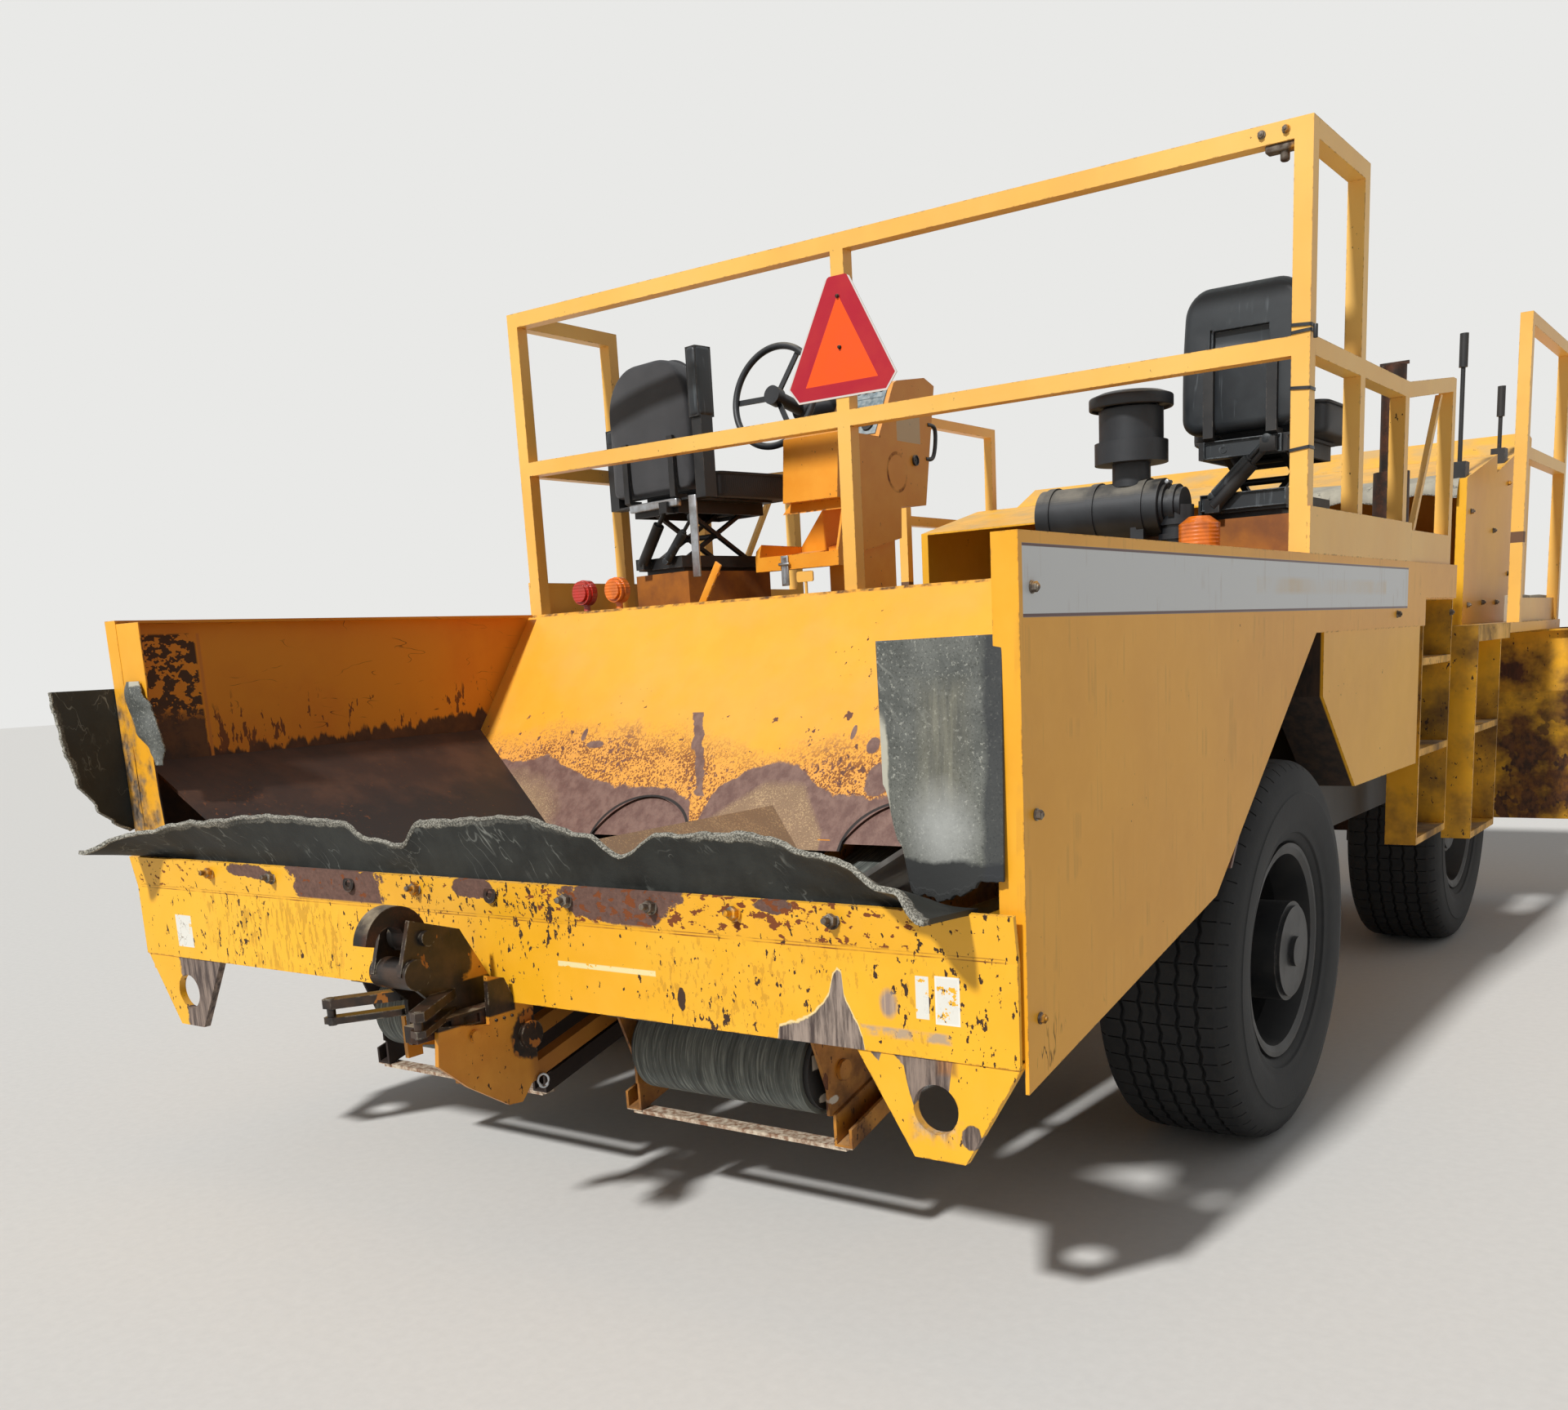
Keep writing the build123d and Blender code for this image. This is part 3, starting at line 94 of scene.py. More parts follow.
def srgb(code):
    """Linear colour of a six-digit code, as (r, g, b, 1)."""
    parts = [int(code[i:i + 2], 16) / 255 for i in (0, 2, 4)]
    return tuple(c / 12.92 if c <= 0.04045 else ((c + 0.055) / 1.055) ** 2.4 for c in parts) + (1.0,)


def put(tree, kind, inputs=None, **settings):
    """Adds a node. inputs maps a socket's name or number to a value or to another node's output."""
    node = tree.nodes.new(kind)
    for key, value in settings.items():
        setattr(node, key, value)
    for key, value in (inputs or {}).items():
        if isinstance(value, bpy.types.NodeSocket):
            tree.links.new(value, node.inputs[key])
        else:
            node.inputs[key].default_value = value
    return node


def calc(tree, operation, first, second=0.0, clamp=False):
    """The output of one Math node."""
    return put(tree, "ShaderNodeMath", {0: first, 1: second}, operation=operation, use_clamp=clamp).outputs[0]


def mixed(tree, mask, under, over):
    """The colour under, with the colour over where the mask is white."""
    return put(tree, "ShaderNodeMix", {0: mask, 6: under, 7: over}, data_type="RGBA").outputs[2]


def ramped(tree, value, start, end, low=0.0, high=1.0):
    """value taken smoothly from low at start to high at end."""
    return put(tree, "ShaderNodeMapRange", {0: value, 1: start, 2: end, 3: low, 4: high},
               interpolation_type="SMOOTHSTEP").outputs[0]


def vector_calc(tree, operation, first, second=(0.0, 0.0, 0.0)):
    """The output of one Vector Math node: a value for a dot product or a length, else a vector."""
    node = put(tree, "ShaderNodeVectorMath", {0: first, 1: second}, operation=operation)
    return node.outputs["Value" if operation in ("DOT_PRODUCT", "LENGTH") else "Vector"]


def noise(tree, vector, scale, detail=3.0, rough=0.6):
    """The height of a noise field."""
    return put(tree, "ShaderNodeTexNoise",
               {"Vector": vector, "Scale": scale, "Detail": detail, "Roughness": rough}).outputs[0]


def make_stage():
    """Pale floor, pale surround and the key light."""
    bpy.ops.mesh.primitive_plane_add(size=FLOOR_SIZE, location=(0, 0, 0))
    floor = bpy.context.object
    floor.name = "floor"
    material = bpy.data.materials.new("floor")
    material.use_nodes = True
    tree = material.node_tree
    ground = tree.nodes["Principled BSDF"]
    spot = put(tree, "ShaderNodeTexCoord").outputs["Object"]
    grain = noise(tree, spot, 35.0, 4.0)
    tree.links.new(mixed(tree, grain, srgb("d6d4cf"), srgb("e2e0db")), ground.inputs["Base Color"])
    ground.inputs["Roughness"].default_value = 0.9
    floor.data.materials.append(material)

    world = bpy.data.worlds.new("surround")
    bpy.context.scene.world = world
    world.use_nodes = True
    tree = world.node_tree
    tree.nodes.clear()
    path = put(tree, "ShaderNodeLightPath")
    light = put(tree, "ShaderNodeBackground", {"Color": srgb("f4f6fa"), "Strength": SKY_POWER})
    seen = put(tree, "ShaderNodeBackground", {"Color": srgb("e9e9e7"), "Strength": 1.0})
    mirror_or_eye = calc(tree, "MAXIMUM", path.outputs["Is Camera Ray"],
                         calc(tree, "MAXIMUM", path.outputs["Is Glossy Ray"], path.outputs["Is Transmission Ray"]))
    both = put(tree, "ShaderNodeMixShader", {0: mirror_or_eye, 1: light.outputs[0], 2: seen.outputs[0]})
    put(tree, "ShaderNodeOutputWorld", {0: both.outputs[0]})

    key = bpy.data.lights.new("key", "SUN")
    key.energy, key.angle = SUN_POWER, radians(SUN_ANGLE)
    lamp = bpy.data.objects.new("key", key)
    lamp.rotation_mode = "QUATERNION"
    lamp.rotation_quaternion = Vector(SUN_WAY).to_track_quat("-Z", "Y")
    show(lamp)
    bpy.context.scene.view_settings.view_transform = "Standard"


make_stage()

# Shader groups: one effect each, used by several finishes
FLOAT, VECTOR, COLOUR = "NodeSocketFloat", "NodeSocketVector", "NodeSocketColor"


def new_group(name, output="Mask", **inputs):
    """A shader node group with a Vector input and the given ones, each with its default.

    Returns its tree, the sockets of its input node and a function that fills its output.
    """
    tree = bpy.data.node_groups.new(name, "ShaderNodeTree")
    tree.interface.new_socket("Vector", in_out="INPUT", socket_type=VECTOR)
    for label, value in inputs.items():
        kind = FLOAT if isinstance(value, float) else COLOUR if len(value) == 4 else VECTOR
        tree.interface.new_socket(label, in_out="INPUT", socket_type=kind).default_value = value
    tree.interface.new_socket(output, in_out="OUTPUT", socket_type=COLOUR if output == "Color" else FLOAT)
    source, sink = tree.nodes.new("NodeGroupInput"), tree.nodes.new("NodeGroupOutput")
    return tree, source.outputs, lambda socket: tree.links.new(socket, sink.inputs[0])


def make_chips():
    """Small marks where paint has flaked. Share sets how much of the surface they take, Tall squeezes them upright."""
    tree, given, give = new_group("chips", Scale=60.0, Share=0.3, Tall=0.6)
    stretch = put(tree, "ShaderNodeCombineXYZ", {0: 1.0, 1: 1.0, 2: given["Tall"]}).outputs[0]
    spot = vector_calc(tree, "MULTIPLY", given["Vector"], stretch)
    field = noise(tree, spot, given["Scale"], 3.0, 0.62)
    patches = noise(tree, given["Vector"], calc(tree, "MULTIPLY", given["Scale"], 0.06), 2.0, 0.5)
    level = calc(tree, "SUBTRACT", 0.80, calc(tree, "MULTIPLY", given["Share"], 0.26))
    level = calc(tree, "SUBTRACT", level, calc(tree, "MULTIPLY", calc(tree, "SUBTRACT", patches, 0.5), 0.35))
    give(ramped(tree, calc(tree, "SUBTRACT", field, level), 0.0, 0.02))
    return tree


def make_ragged():
    """White where Value is above Edge, with a torn border that wanders by Spread."""
    tree, given, give = new_group("ragged", Value=0.0, Edge=0.0, Spread=0.05, Soft=0.01, Scale=8.0)
    torn = calc(tree, "SUBTRACT", noise(tree, given["Vector"], given["Scale"], 5.0, 0.62), 0.5)
    wander = calc(tree, "MULTIPLY", torn, calc(tree, "MULTIPLY", given["Spread"], 4.0))
    over = calc(tree, "SUBTRACT", calc(tree, "ADD", given["Value"], wander), given["Edge"])
    give(calc(tree, "DIVIDE", over, given["Soft"], clamp=True))
    return tree


def make_rust_tone():
    """Mottled brown of rusted steel under lost paint."""
    tree, given, give = new_group("rust_tone", "Color", Dark=srgb("3a2216"), Light=srgb("7a4526"))
    clouds = noise(tree, given["Vector"], 14.0, 6.0, 0.7)
    grains = noise(tree, given["Vector"], 160.0, 2.0, 0.6)
    both = ramped(tree, calc(tree, "ADD", calc(tree, "MULTIPLY", clouds, 0.7), calc(tree, "MULTIPLY", grains, 0.3)),
                  0.38, 0.62)
    give(mixed(tree, both, given["Dark"], given["Light"]))
    return tree


def make_clouds():
    """A soft patchy mask from 0 to Amount."""
    tree, given, give = new_group("clouds", Scale=3.0, Amount=0.5)
    field = ramped(tree, noise(tree, given["Vector"], given["Scale"], 5.0, 0.6), 0.35, 0.7)
    give(calc(tree, "MULTIPLY", field, given["Amount"]))
    return tree


def make_box_mask():
    """White inside a box, fading out over Soft at its faces."""
    tree, given, give = new_group("box_mask", Low=(0.0, 0.0, 0.0), High=(0.0, 0.0, 0.0), Soft=0.002)
    above = vector_calc(tree, "SUBTRACT", given["Vector"], given["Low"])
    below = vector_calc(tree, "SUBTRACT", given["High"], given["Vector"])
    inner = vector_calc(tree, "MINIMUM", above, below)
    part = put(tree, "ShaderNodeSeparateXYZ", {0: inner}).outputs
    least = calc(tree, "MINIMUM", calc(tree, "MINIMUM", part[0], part[1]), part[2])
    give(calc(tree, "DIVIDE", least, given["Soft"], clamp=True))
    return tree


def make_dab():
    """White inside an ellipsoid, with a torn border."""
    tree, given, give = new_group("dab", Middle=(0.0, 0.0, 0.0), Radii=(1.0, 1.0, 1.0), Torn=0.1, Soft=0.1,
                                  Scale=20.0)
    away = vector_calc(tree, "SUBTRACT", given["Vector"], given["Middle"])
    away = vector_calc(tree, "DIVIDE", away, given["Radii"])
    reach = vector_calc(tree, "LENGTH", away)
    torn = calc(tree, "SUBTRACT", noise(tree, given["Vector"], given["Scale"], 5.0, 0.65), 0.5)
    level = calc(tree, "ADD", calc(tree, "SUBTRACT", 1.0, reach),
                 calc(tree, "MULTIPLY", torn, calc(tree, "MULTIPLY", given["Torn"], 6.0)))
    give(calc(tree, "DIVIDE", level, given["Soft"], clamp=True))
    return tree


def make_scratches():
    """Thin lines that wander along one direction, squeezed by Stretch."""
    tree, given, give = new_group("scratches", Stretch=(1.0, 1.0, 1.0), Scale=6.0, Width=0.004)
    spot = vector_calc(tree, "MULTIPLY", given["Vector"], given["Stretch"])
    away = calc(tree, "ABSOLUTE", calc(tree, "SUBTRACT", noise(tree, spot, given["Scale"], 3.0, 0.5), 0.5))
    line = ramped(tree, away, given["Width"], 0.0)
    broken = ramped(tree, noise(tree, given["Vector"], 9.0, 2.0), 0.5, 0.62)
    give(calc(tree, "MULTIPLY", line, broken))
    return tree


def make_worn_edges():
    """White along sharp edges, broken up by noise and scaled by Amount."""
    tree, given, give = new_group("worn_edges", Amount=1.0)
    rounded = put(tree, "ShaderNodeBevel", {"Radius": 0.006}, samples=4).outputs[0]
    flat = put(tree, "ShaderNodeNewGeometry").outputs["Normal"]
    facing = vector_calc(tree, "DOT_PRODUCT", rounded, flat)
    edge = ramped(tree, calc(tree, "SUBTRACT", 1.0, facing), 0.04, 0.22)
    torn = ramped(tree, noise(tree, given["Vector"], 38.0, 4.0, 0.7), 0.48, 0.62)
    give(calc(tree, "MULTIPLY", calc(tree, "MULTIPLY", edge, torn), given["Amount"], clamp=True))
    return tree


GROUPS = {make.__name__[5:]: make() for make in (make_chips, make_ragged, make_rust_tone, make_clouds, make_box_mask,
                                                 make_dab, make_scratches, make_worn_edges)}


def tinted(colour):
    """A colour as a node takes it: a six-digit code becomes linear, anything else stays."""
    return srgb(colour) if isinstance(colour, str) else colour


class Coat:
    """A finish built up in layers, each laid over the last where its mask is white."""

    def __init__(self, name, colour, rough, metallic=0.0):
        self.material = bpy.data.materials.new(name)
        self.material.use_nodes = True
        self.tree = self.material.node_tree
        self.shader = self.tree.nodes["Principled BSDF"]
        self.spot = put(self.tree, "ShaderNodeTexCoord").outputs["Object"]
        self.across, self.along, self.up = put(self.tree, "ShaderNodeSeparateXYZ", {0: self.spot}).outputs
        self.colour, self.rough, self.height = tinted(colour), rough, 0.0
        self.shader.inputs["Metallic"].default_value = metallic

    def group(self, name, **inputs):
        """One of the shader groups, placed in this material; its inputs are given in small letters."""
        node = put(self.tree, "ShaderNodeGroup", node_tree=GROUPS[name])
        for socket in node.inputs:
            value = tinted(inputs.get(socket.name.lower(), self.spot if socket.name == "Vector" else None))
            if isinstance(value, bpy.types.NodeSocket):
                self.tree.links.new(value, socket)
            elif value is not None:
                socket.default_value = value
        return node.outputs[0]

    def chips(self, scale, share, tall=0.6):
        return self.group("chips", scale=scale, share=share, tall=tall)

    def clouds(self, scale, amount):
        return self.group("clouds", scale=scale, amount=amount)

    def box(self, low, high, soft):
        return self.group("box_mask", low=low, high=high, soft=soft)

    def dab(self, middle, radii, torn, soft, scale=20.0):
        return self.group("dab", middle=middle, radii=radii, torn=torn, soft=soft, scale=scale)

    def ragged(self, value, edge, spread, soft, scale=8.0, vector=None):
        vector = self.spot if vector is None else vector
        return self.group("ragged", value=value, edge=edge, spread=spread, soft=soft, scale=scale, vector=vector)

    def scratches(self, stretch, scale, width=0.004, vector=None):
        vector = self.spot if vector is None else vector
        return self.group("scratches", stretch=stretch, scale=scale, width=width, vector=vector)

    def worn_edges(self, amount):
        return self.group("worn_edges", amount=amount)

    def calc(self, operation, first, second=0.0):
        return calc(self.tree, operation, first, second)

    def less(self, first, second):
        return self.calc("SUBTRACT", first, second)

    def most(self, first, second):
        return self.calc("MAXIMUM", first, second)

    def plus(self, first, second):
        return self.calc("ADD", first, second)

    def ramp(self, value, start, end, low=0.0, high=1.0):
        return ramped(self.tree, value, start, end, low, high)

    def noise(self, scale, detail=3.0, rough=0.6):
        return noise(self.tree, self.spot, scale, detail, rough)

    def stretched(self, by):
        """Where the surface is, squeezed or stretched along the axes."""
        return vector_calc(self.tree, "MULTIPLY", self.spot, by)

    def mix(self, mask, under, over):
        return mixed(self.tree, mask, tinted(under), tinted(over))

    def times(self, *masks):
        """The product of several masks."""
        product = masks[0]
        for mask in masks[1:]:
            product = self.calc("MULTIPLY", product, mask)
        return product

    def profile(self, points):
        """A height that follows points given as (across, height)."""
        left, right = points[0][0], points[-1][0]
        low, high = min(point[1] for point in points), max(point[1] for point in points)
        part = put(self.tree, "ShaderNodeMapRange", {0: self.across, 1: left, 2: right}).outputs[0]
        node = put(self.tree, "ShaderNodeFloatCurve", {1: part})
        curve = node.mapping.curves[0]
        spots = [((across - left) / (right - left), (height - low) / (high - low)) for across, height in points]
        curve.points[0].location, curve.points[1].location = spots[0], spots[-1]
        for spot in spots[1:-1]:
            curve.points.new(*spot)
        for point in curve.points:
            point.handle_type = "VECTOR"
        node.mapping.update()
        return self.calc("ADD", self.calc("MULTIPLY", node.outputs[0], high - low), low)

    def below(self, points, spread, soft, scale):
        """White below a torn line through points given as (across, height)."""
        level = self.calc("SUBTRACT", self.profile(points), self.up)
        return self.ragged(level, 0.0, spread, soft, scale)

    def streaky(self, dark, light, squeeze=0.1, scale=80.0):
        """Two colours in fine upright streaks."""
        fine = self.stretched((1.0, 1.0, squeeze))
        return self.mix(self.ramp(noise(self.tree, fine, scale, 5.0, 0.65), 0.34, 0.66), dark, light)

    def facing(self, way):
        """White on faces that look along a direction."""
        normal = put(self.tree, "ShaderNodeNewGeometry").outputs["True Normal"]
        turned = put(self.tree, "ShaderNodeVectorTransform", {0: normal}, vector_type="NORMAL",
                     convert_from="WORLD", convert_to="OBJECT").outputs[0]
        dot = vector_calc(self.tree, "DOT_PRODUCT", turned, way)
        return ramped(self.tree, dot, 0.35, 0.65)

    def over(self, mask, colour, rough=None, depth=0.0):
        """Lays a colour, and if given a roughness and a depth in metres, over what is there."""
        self.colour = self.mix(mask, self.colour, colour)
        if rough is not None:
            self.rough = put(self.tree, "ShaderNodeMix", {0: mask, 2: self.rough, 3: rough}).outputs[0]
        if depth:
            self.height = self.calc("ADD", self.height, self.calc("MULTIPLY", mask, depth))

    def done(self):
        """Links the layers to the shader."""
        for socket, value in (("Base Color", self.colour), ("Roughness", self.rough)):
            if isinstance(value, bpy.types.NodeSocket):
                self.tree.links.new(value, self.shader.inputs[socket])
            else:
                self.shader.inputs[socket].default_value = value
        if isinstance(self.height, bpy.types.NodeSocket):
            bump = put(self.tree, "ShaderNodeBump", {"Height": self.height, "Distance": 1.0, "Strength": 0.8})
            self.tree.links.new(bump.outputs[0], self.shader.inputs["Normal"])
        return self.material


# Finishes. Heights are in metres over the ground, stations along Y in the CAD frame
PAINT = srgb("f4b41f")
PAINT_SHADE = srgb("de9a17")
FADED_PAINT, FADED_SHADE = srgb("f5c163"), srgb("e6a53f")
FLECK = srgb("3b2413")
DUST = srgb("b9a88c")
BEAM_REAR = -2.720                    # rear face of the tail beam
TAIL_PULLEY = (-2.353, 0.457)          # middle of the conveyors' tail drums
BELT_MIDDLES = (-0.493, 0.493)
SCRAPER_Z = 0.2794              # middle of the scraper bar


def orange_paint(name, flecks=0.25, rust=0.12, dust=0.25, wear=0.8, paint=PAINT, shade=PAINT_SHADE):
    """The machine's orange enamel with flecks, rust runs, worn edges and dust, ready for more layers."""
    coat = Coat(name, paint, 0.42)
    coat.over(coat.clouds(1.3, 0.55), shade)
    coat.over(coat.clouds(9.0, 0.18), "ffc04a")
    rusty = coat.group("rust_tone")
    coat.over(coat.chips(70.0, flecks, 0.55), FLECK, 0.85, -0.0004)
    coat.over(coat.chips(16.0, rust, 0.45), rusty, 0.9, -0.0004)
    coat.over(coat.worn_edges(wear), rusty, 0.8, -0.0003)
    lying = coat.facing((0.0, 0.0, 1.0))
    coat.over(coat.times(lying, coat.clouds(5.0, dust * 2)), DUST, 0.95)
    grain = coat.noise(240.0, 2.0)
    coat.height = coat.plus(coat.height, coat.times(grain, 0.00012))
    return coat


def make_frame_paint():
    """Frame, hood and side boxes; the boxes' rear faces above the wheels are painted shade, near black in streaks."""
    coat = orange_paint("frame_paint", flecks=0.2, rust=0.2, dust=0.3)
    # Painted shade: the side boxes' rear and downward faces above the wheels, darkened nearly black in streaks
    box_rear_painted_shade = coat.box((-1.440, -0.90, 0.90), (1.440, -0.30, 1.474), 0.004)
    coat.over(coat.times(box_rear_painted_shade, coat.facing((0.0, -0.9, -0.43))), coat.streaky("17110d", "3a281b", 0.3, 30.0),
              0.85)
    return coat.done()


# Decal band along the machine's sides: (low height, high height, colour), each from BAND_BACK to BAND_FRONT
BAND_BACK, BAND_FRONT = -2.686, 0.051
BAND_STRIPES = (
    (1.448, 1.575, "cfd0cf"),
    (1.448, 1.455, "4a1f1c"),
    (1.569, 1.575, "4a1f1c"),
)
TAN_STRIPE = (-1.45, -0.22, 1.487, 1.536)      # back, front, low, high


def make_side_paint():
    """Side panels: clean outside with the blank decal band; inside, gravel-scoured ragged zones, the lowest partly
    painted shadow.
    """
    coat = orange_paint("side_paint", flecks=0.10, rust=0.02, dust=0.15, paint="f0aa22", shade="dc9519")
    width = 1.46
    for low, high, code in BAND_STRIPES:
        band = coat.box((-width, BAND_BACK, low), (width, BAND_FRONT, high), 0.001)
        coat.over(band, code, 0.35)
    back, front, low, high = TAN_STRIPE
    tan = coat.box((-width, back, low), (width, front, high), 0.02)
    coat.over(coat.times(tan, coat.clouds(2.0, 1.0)), "d0a85c", 0.4)
    # Grime that has run down from the band, and scuffs low at the tail
    drips = coat.scratches((14.0, 14.0, 0.35), 1.6, 0.04)
    coat.over(coat.times(drips, 0.16), "8a5a1e", 0.6)
    # Inside of the bin: the band must not show there, and the gravel has cut through the paint; the lowest zone is also
    # painted shadow of the flap
    away = coat.times(coat.across, -1.0)
    inner = coat.most(coat.times(coat.facing((1.0, 0.0, 0.0)), coat.ramp(away, 0.0, 0.1)),
                      coat.times(coat.facing((-1.0, 0.0, 0.0)), coat.ramp(coat.across, 0.0, 0.1)))
    coat.over(inner, "d98c1e", 0.5)
    coat.over(coat.times(inner, coat.clouds(2.4, 0.7)), "c9741a", 0.55)
    tall = coat.stretched((5.0, 5.0, 0.9))
    fall = coat.less(coat.times(coat.along, 0.035), coat.up)
    stain = coat.ragged(fall, -1.44, 0.07, 0.05, 3.0, tall)
    coat.over(coat.times(inner, stain, coat.chips(38.0, 0.8, 0.35)), "6d3a16", 0.7)
    brown = coat.ragged(fall, -1.300, 0.040, 0.012, 3.2, tall)
    earth = coat.mix(coat.clouds(9.0, 1.0), "3b2216", "5b3a27")
    coat.over(coat.times(inner, brown), earth, 0.8)
    # Near-black lowest zone inside: partly bare worn steel, partly painted shadow cast by the flap
    dark = coat.ragged(fall, -1.19, 0.05, 0.09, 4.0)
    coat.over(coat.times(inner, dark), coat.streaky("24150f", "4a2f22", 0.3, 50.0), 0.7)
    tail = coat.box((-1.5, -2.70, 0.5), (1.5, -2.43, 1.56), 0.006)
    rubbed = coat.ragged(fall, -1.43, 0.05, 0.04, 6.0)
    coat.over(coat.times(inner, tail, coat.chips(26.0, 1.1, 1.5)), "3f2717", 0.8)
    coat.over(coat.times(inner, tail, rubbed), coat.mix(coat.clouds(12.0, 1.0), "2c1a12", "5a3a22"), 0.75)
    crease = coat.box((-1.5, -2.428, 0.9), (1.5, -2.414, 1.56), 0.004)
    coat.over(coat.times(inner, crease), "c77a2c", 0.5)
    coat.over(coat.times(inner, coat.scratches((1.0, 0.5, 2.0), 5.0)), "2a1a10", 0.8)
    flange = coat.box((-1.5, -2.8, 0.98), (-1.3, -2.66, 1.40), 0.02)
    torn = coat.times(flange, coat.facing((0.0, -1.0, 0.0)), coat.clouds(13.0, 1.2))
    coat.over(torn, coat.streaky("2f261f", "7d6c58", 0.4, 60.0), 0.9)
    tip = coat.box((-1.5, -2.8, 0.5), (1.5, -2.35, 0.72), 0.05)
    coat.over(coat.times(tip, coat.scratches((1.0, 3.0, 0.6), 9.0, 0.02)), FLECK, 0.8)
    return coat.done()


# Torn lines on the bin's sloping wall, as (across, height): where the paint starts to flake, where the bare steel
# begins, and the sandy fan that the gravel polishes between the belts
WALL_FLAKY = ((-1.40, 1.19), (-1.20, 1.187), (-1.05, 1.249), (-0.775, 1.213), (-0.49, 1.209), (-0.28, 1.158),
              (-0.06, 1.119), (0.044, 1.155), (0.21, 1.18), (0.50, 1.20), (1.40, 1.20))
WALL_BARE = ((-1.40, 1.10), (-1.15, 1.085), (-1.05, 1.113), (-0.80, 1.030), (-0.66, 1.008), (-0.52, 1.010),
             (-0.40, 1.000), (-0.33, 0.970), (-0.295, 0.900), (-0.270, 0.890), (-0.255, 0.990), (-0.19, 1.036),
             (-0.12, 1.073), (-0.04, 1.087), (0.04, 1.082), (0.09, 1.047), (0.14, 1.020), (0.21, 0.995),
             (0.27, 0.998), (0.34, 0.985), (0.46, 1.010), (0.60, 1.000), (0.80, 1.040), (1.40, 1.110))
WALL_SANDY = ((-0.29, 0.80), (-0.27, 0.900), (-0.17, 0.963), (-0.06, 1.032), (0.09, 1.029), (0.15, 0.960),
              (0.21, 0.900), (0.23, 0.80))


def make_bin_wall_paint():
    """Sloping wall of the bin: paint at the top, then flaking paint, and bare mauve-brown steel at the belts."""
    coat = orange_paint("bin_wall_paint", flecks=0.22, rust=0.02, dust=0.05, wear=0.5, paint="f6ae2b", shade="efa228")
    flaky = coat.below(WALL_FLAKY, 0.030, 0.10, 5.0)
    coat.over(coat.times(flaky, 0.55), "e39b4c", 0.7)
    coat.over(coat.times(coat.chips(150.0, 1.05, 0.75), flaky), "8a5429", 0.8, -0.0005)
    coat.over(coat.times(coat.chips(60.0, 0.75, 0.5), flaky), "7a5040", 0.8, -0.0005)
    marks = coat.ramp(coat.up, 1.27, 1.22)
    coat.over(coat.times(coat.chips(24.0, 0.45, 0.7), marks), "6b4636", 0.8)
    tone = coat.streaky("6a4b42", "84665a", 0.8, 26.0)
    leaning = coat.times(coat.less(1.232, coat.up), 0.53)
    aside = coat.calc("ABSOLUTE", coat.less(coat.plus(coat.across, 0.430), leaning))
    streak = coat.ragged(coat.less(0.020, aside), 0.0, 0.014, 0.004, 20.0)
    streak = coat.times(streak, coat.box((-1.4, -2.0, 0.98), (0.0, -1.0, 1.236), 0.004))
    bare = coat.below(WALL_BARE, 0.012, 0.006, 16.0)
    for middle, radii in (((-0.84, 0, 1.138), (0.042, 9, 0.013)), ((0.290, 0, 1.128), (0.024, 9, 0.024)),
                          ((0.345, 0, 1.035), (0.045, 9, 0.050)), ((-0.905, 0, 1.170), (0.012, 9, 0.022)),
                          ((0.206, 0, 1.166), (0.010, 9, 0.022)), ((-0.395, 0, 1.150), (0.020, 9, 0.030))):
        bare = coat.most(bare, coat.dab(middle, radii, 0.12, 0.1))
    coat.over(coat.most(streak, bare), tone, 0.5, -0.0006)
    grains = coat.chips(210.0, 0.9, 1.0)
    sandy = coat.below(WALL_SANDY, 0.006, 0.025, 9.0)
    for middle in (-1.16, 1.16):
        polished = coat.dab((middle, 0, 0.90), (0.30, 9, 0.17), 0.05, 0.35)
        sandy = coat.most(sandy, coat.times(polished, bare))
    coat.over(sandy, "8f7357", 0.6)
    coat.over(coat.times(sandy, grains), "b89a74", 0.7)
    # Dark line round each arch
    for middle in BELT_MIDDLES:
        reach = vector_calc(coat.tree, "SUBTRACT", coat.spot, (middle, 0, 0.850))
        reach = vector_calc(coat.tree, "MULTIPLY", reach, (1.0, 0.0, 1.565))
        reach = vector_calc(coat.tree, "LENGTH", reach)
        rim = coat.times(coat.ramp(reach, 0.196, 0.199), coat.ramp(reach, 0.211, 0.207))
        coat.over(rim, "1d1512", 0.7)
    dark_top = coat.box((-1.45, -1.1, 1.585), (1.45, -0.9, 1.6), 0.004)
    coat.over(coat.times(dark_top, coat.clouds(30.0, 1.0)), "4a2f1d", 0.8)
    return coat.done()


# Torn spike of bare steel at the beam's right, and the bare part of the right tow-eye plate, as (across, height)
SPIKE = ((0.880, 0.600), (0.893, 0.662), (0.929, 0.672), (0.965, 0.687), (0.992, 0.708), (1.020, 0.742), (1.031, 0.775),
         (1.042, 0.793), (1.052, 0.784), (1.056, 0.742), (1.070, 0.714), (1.085, 0.687), (1.096, 0.660), (1.105, 0.600))
EYE_BARE = ((1.080, 0.660), (1.100, 0.645), (1.129, 0.612), (1.142, 0.647), (1.158, 0.640), (1.186, 0.610),
            (1.196, 0.560), (1.205, 0.535), (1.226, 0.525), (1.280, 0.530), (1.291, 0.612), (1.303, 0.660),
            (1.320, 0.700))


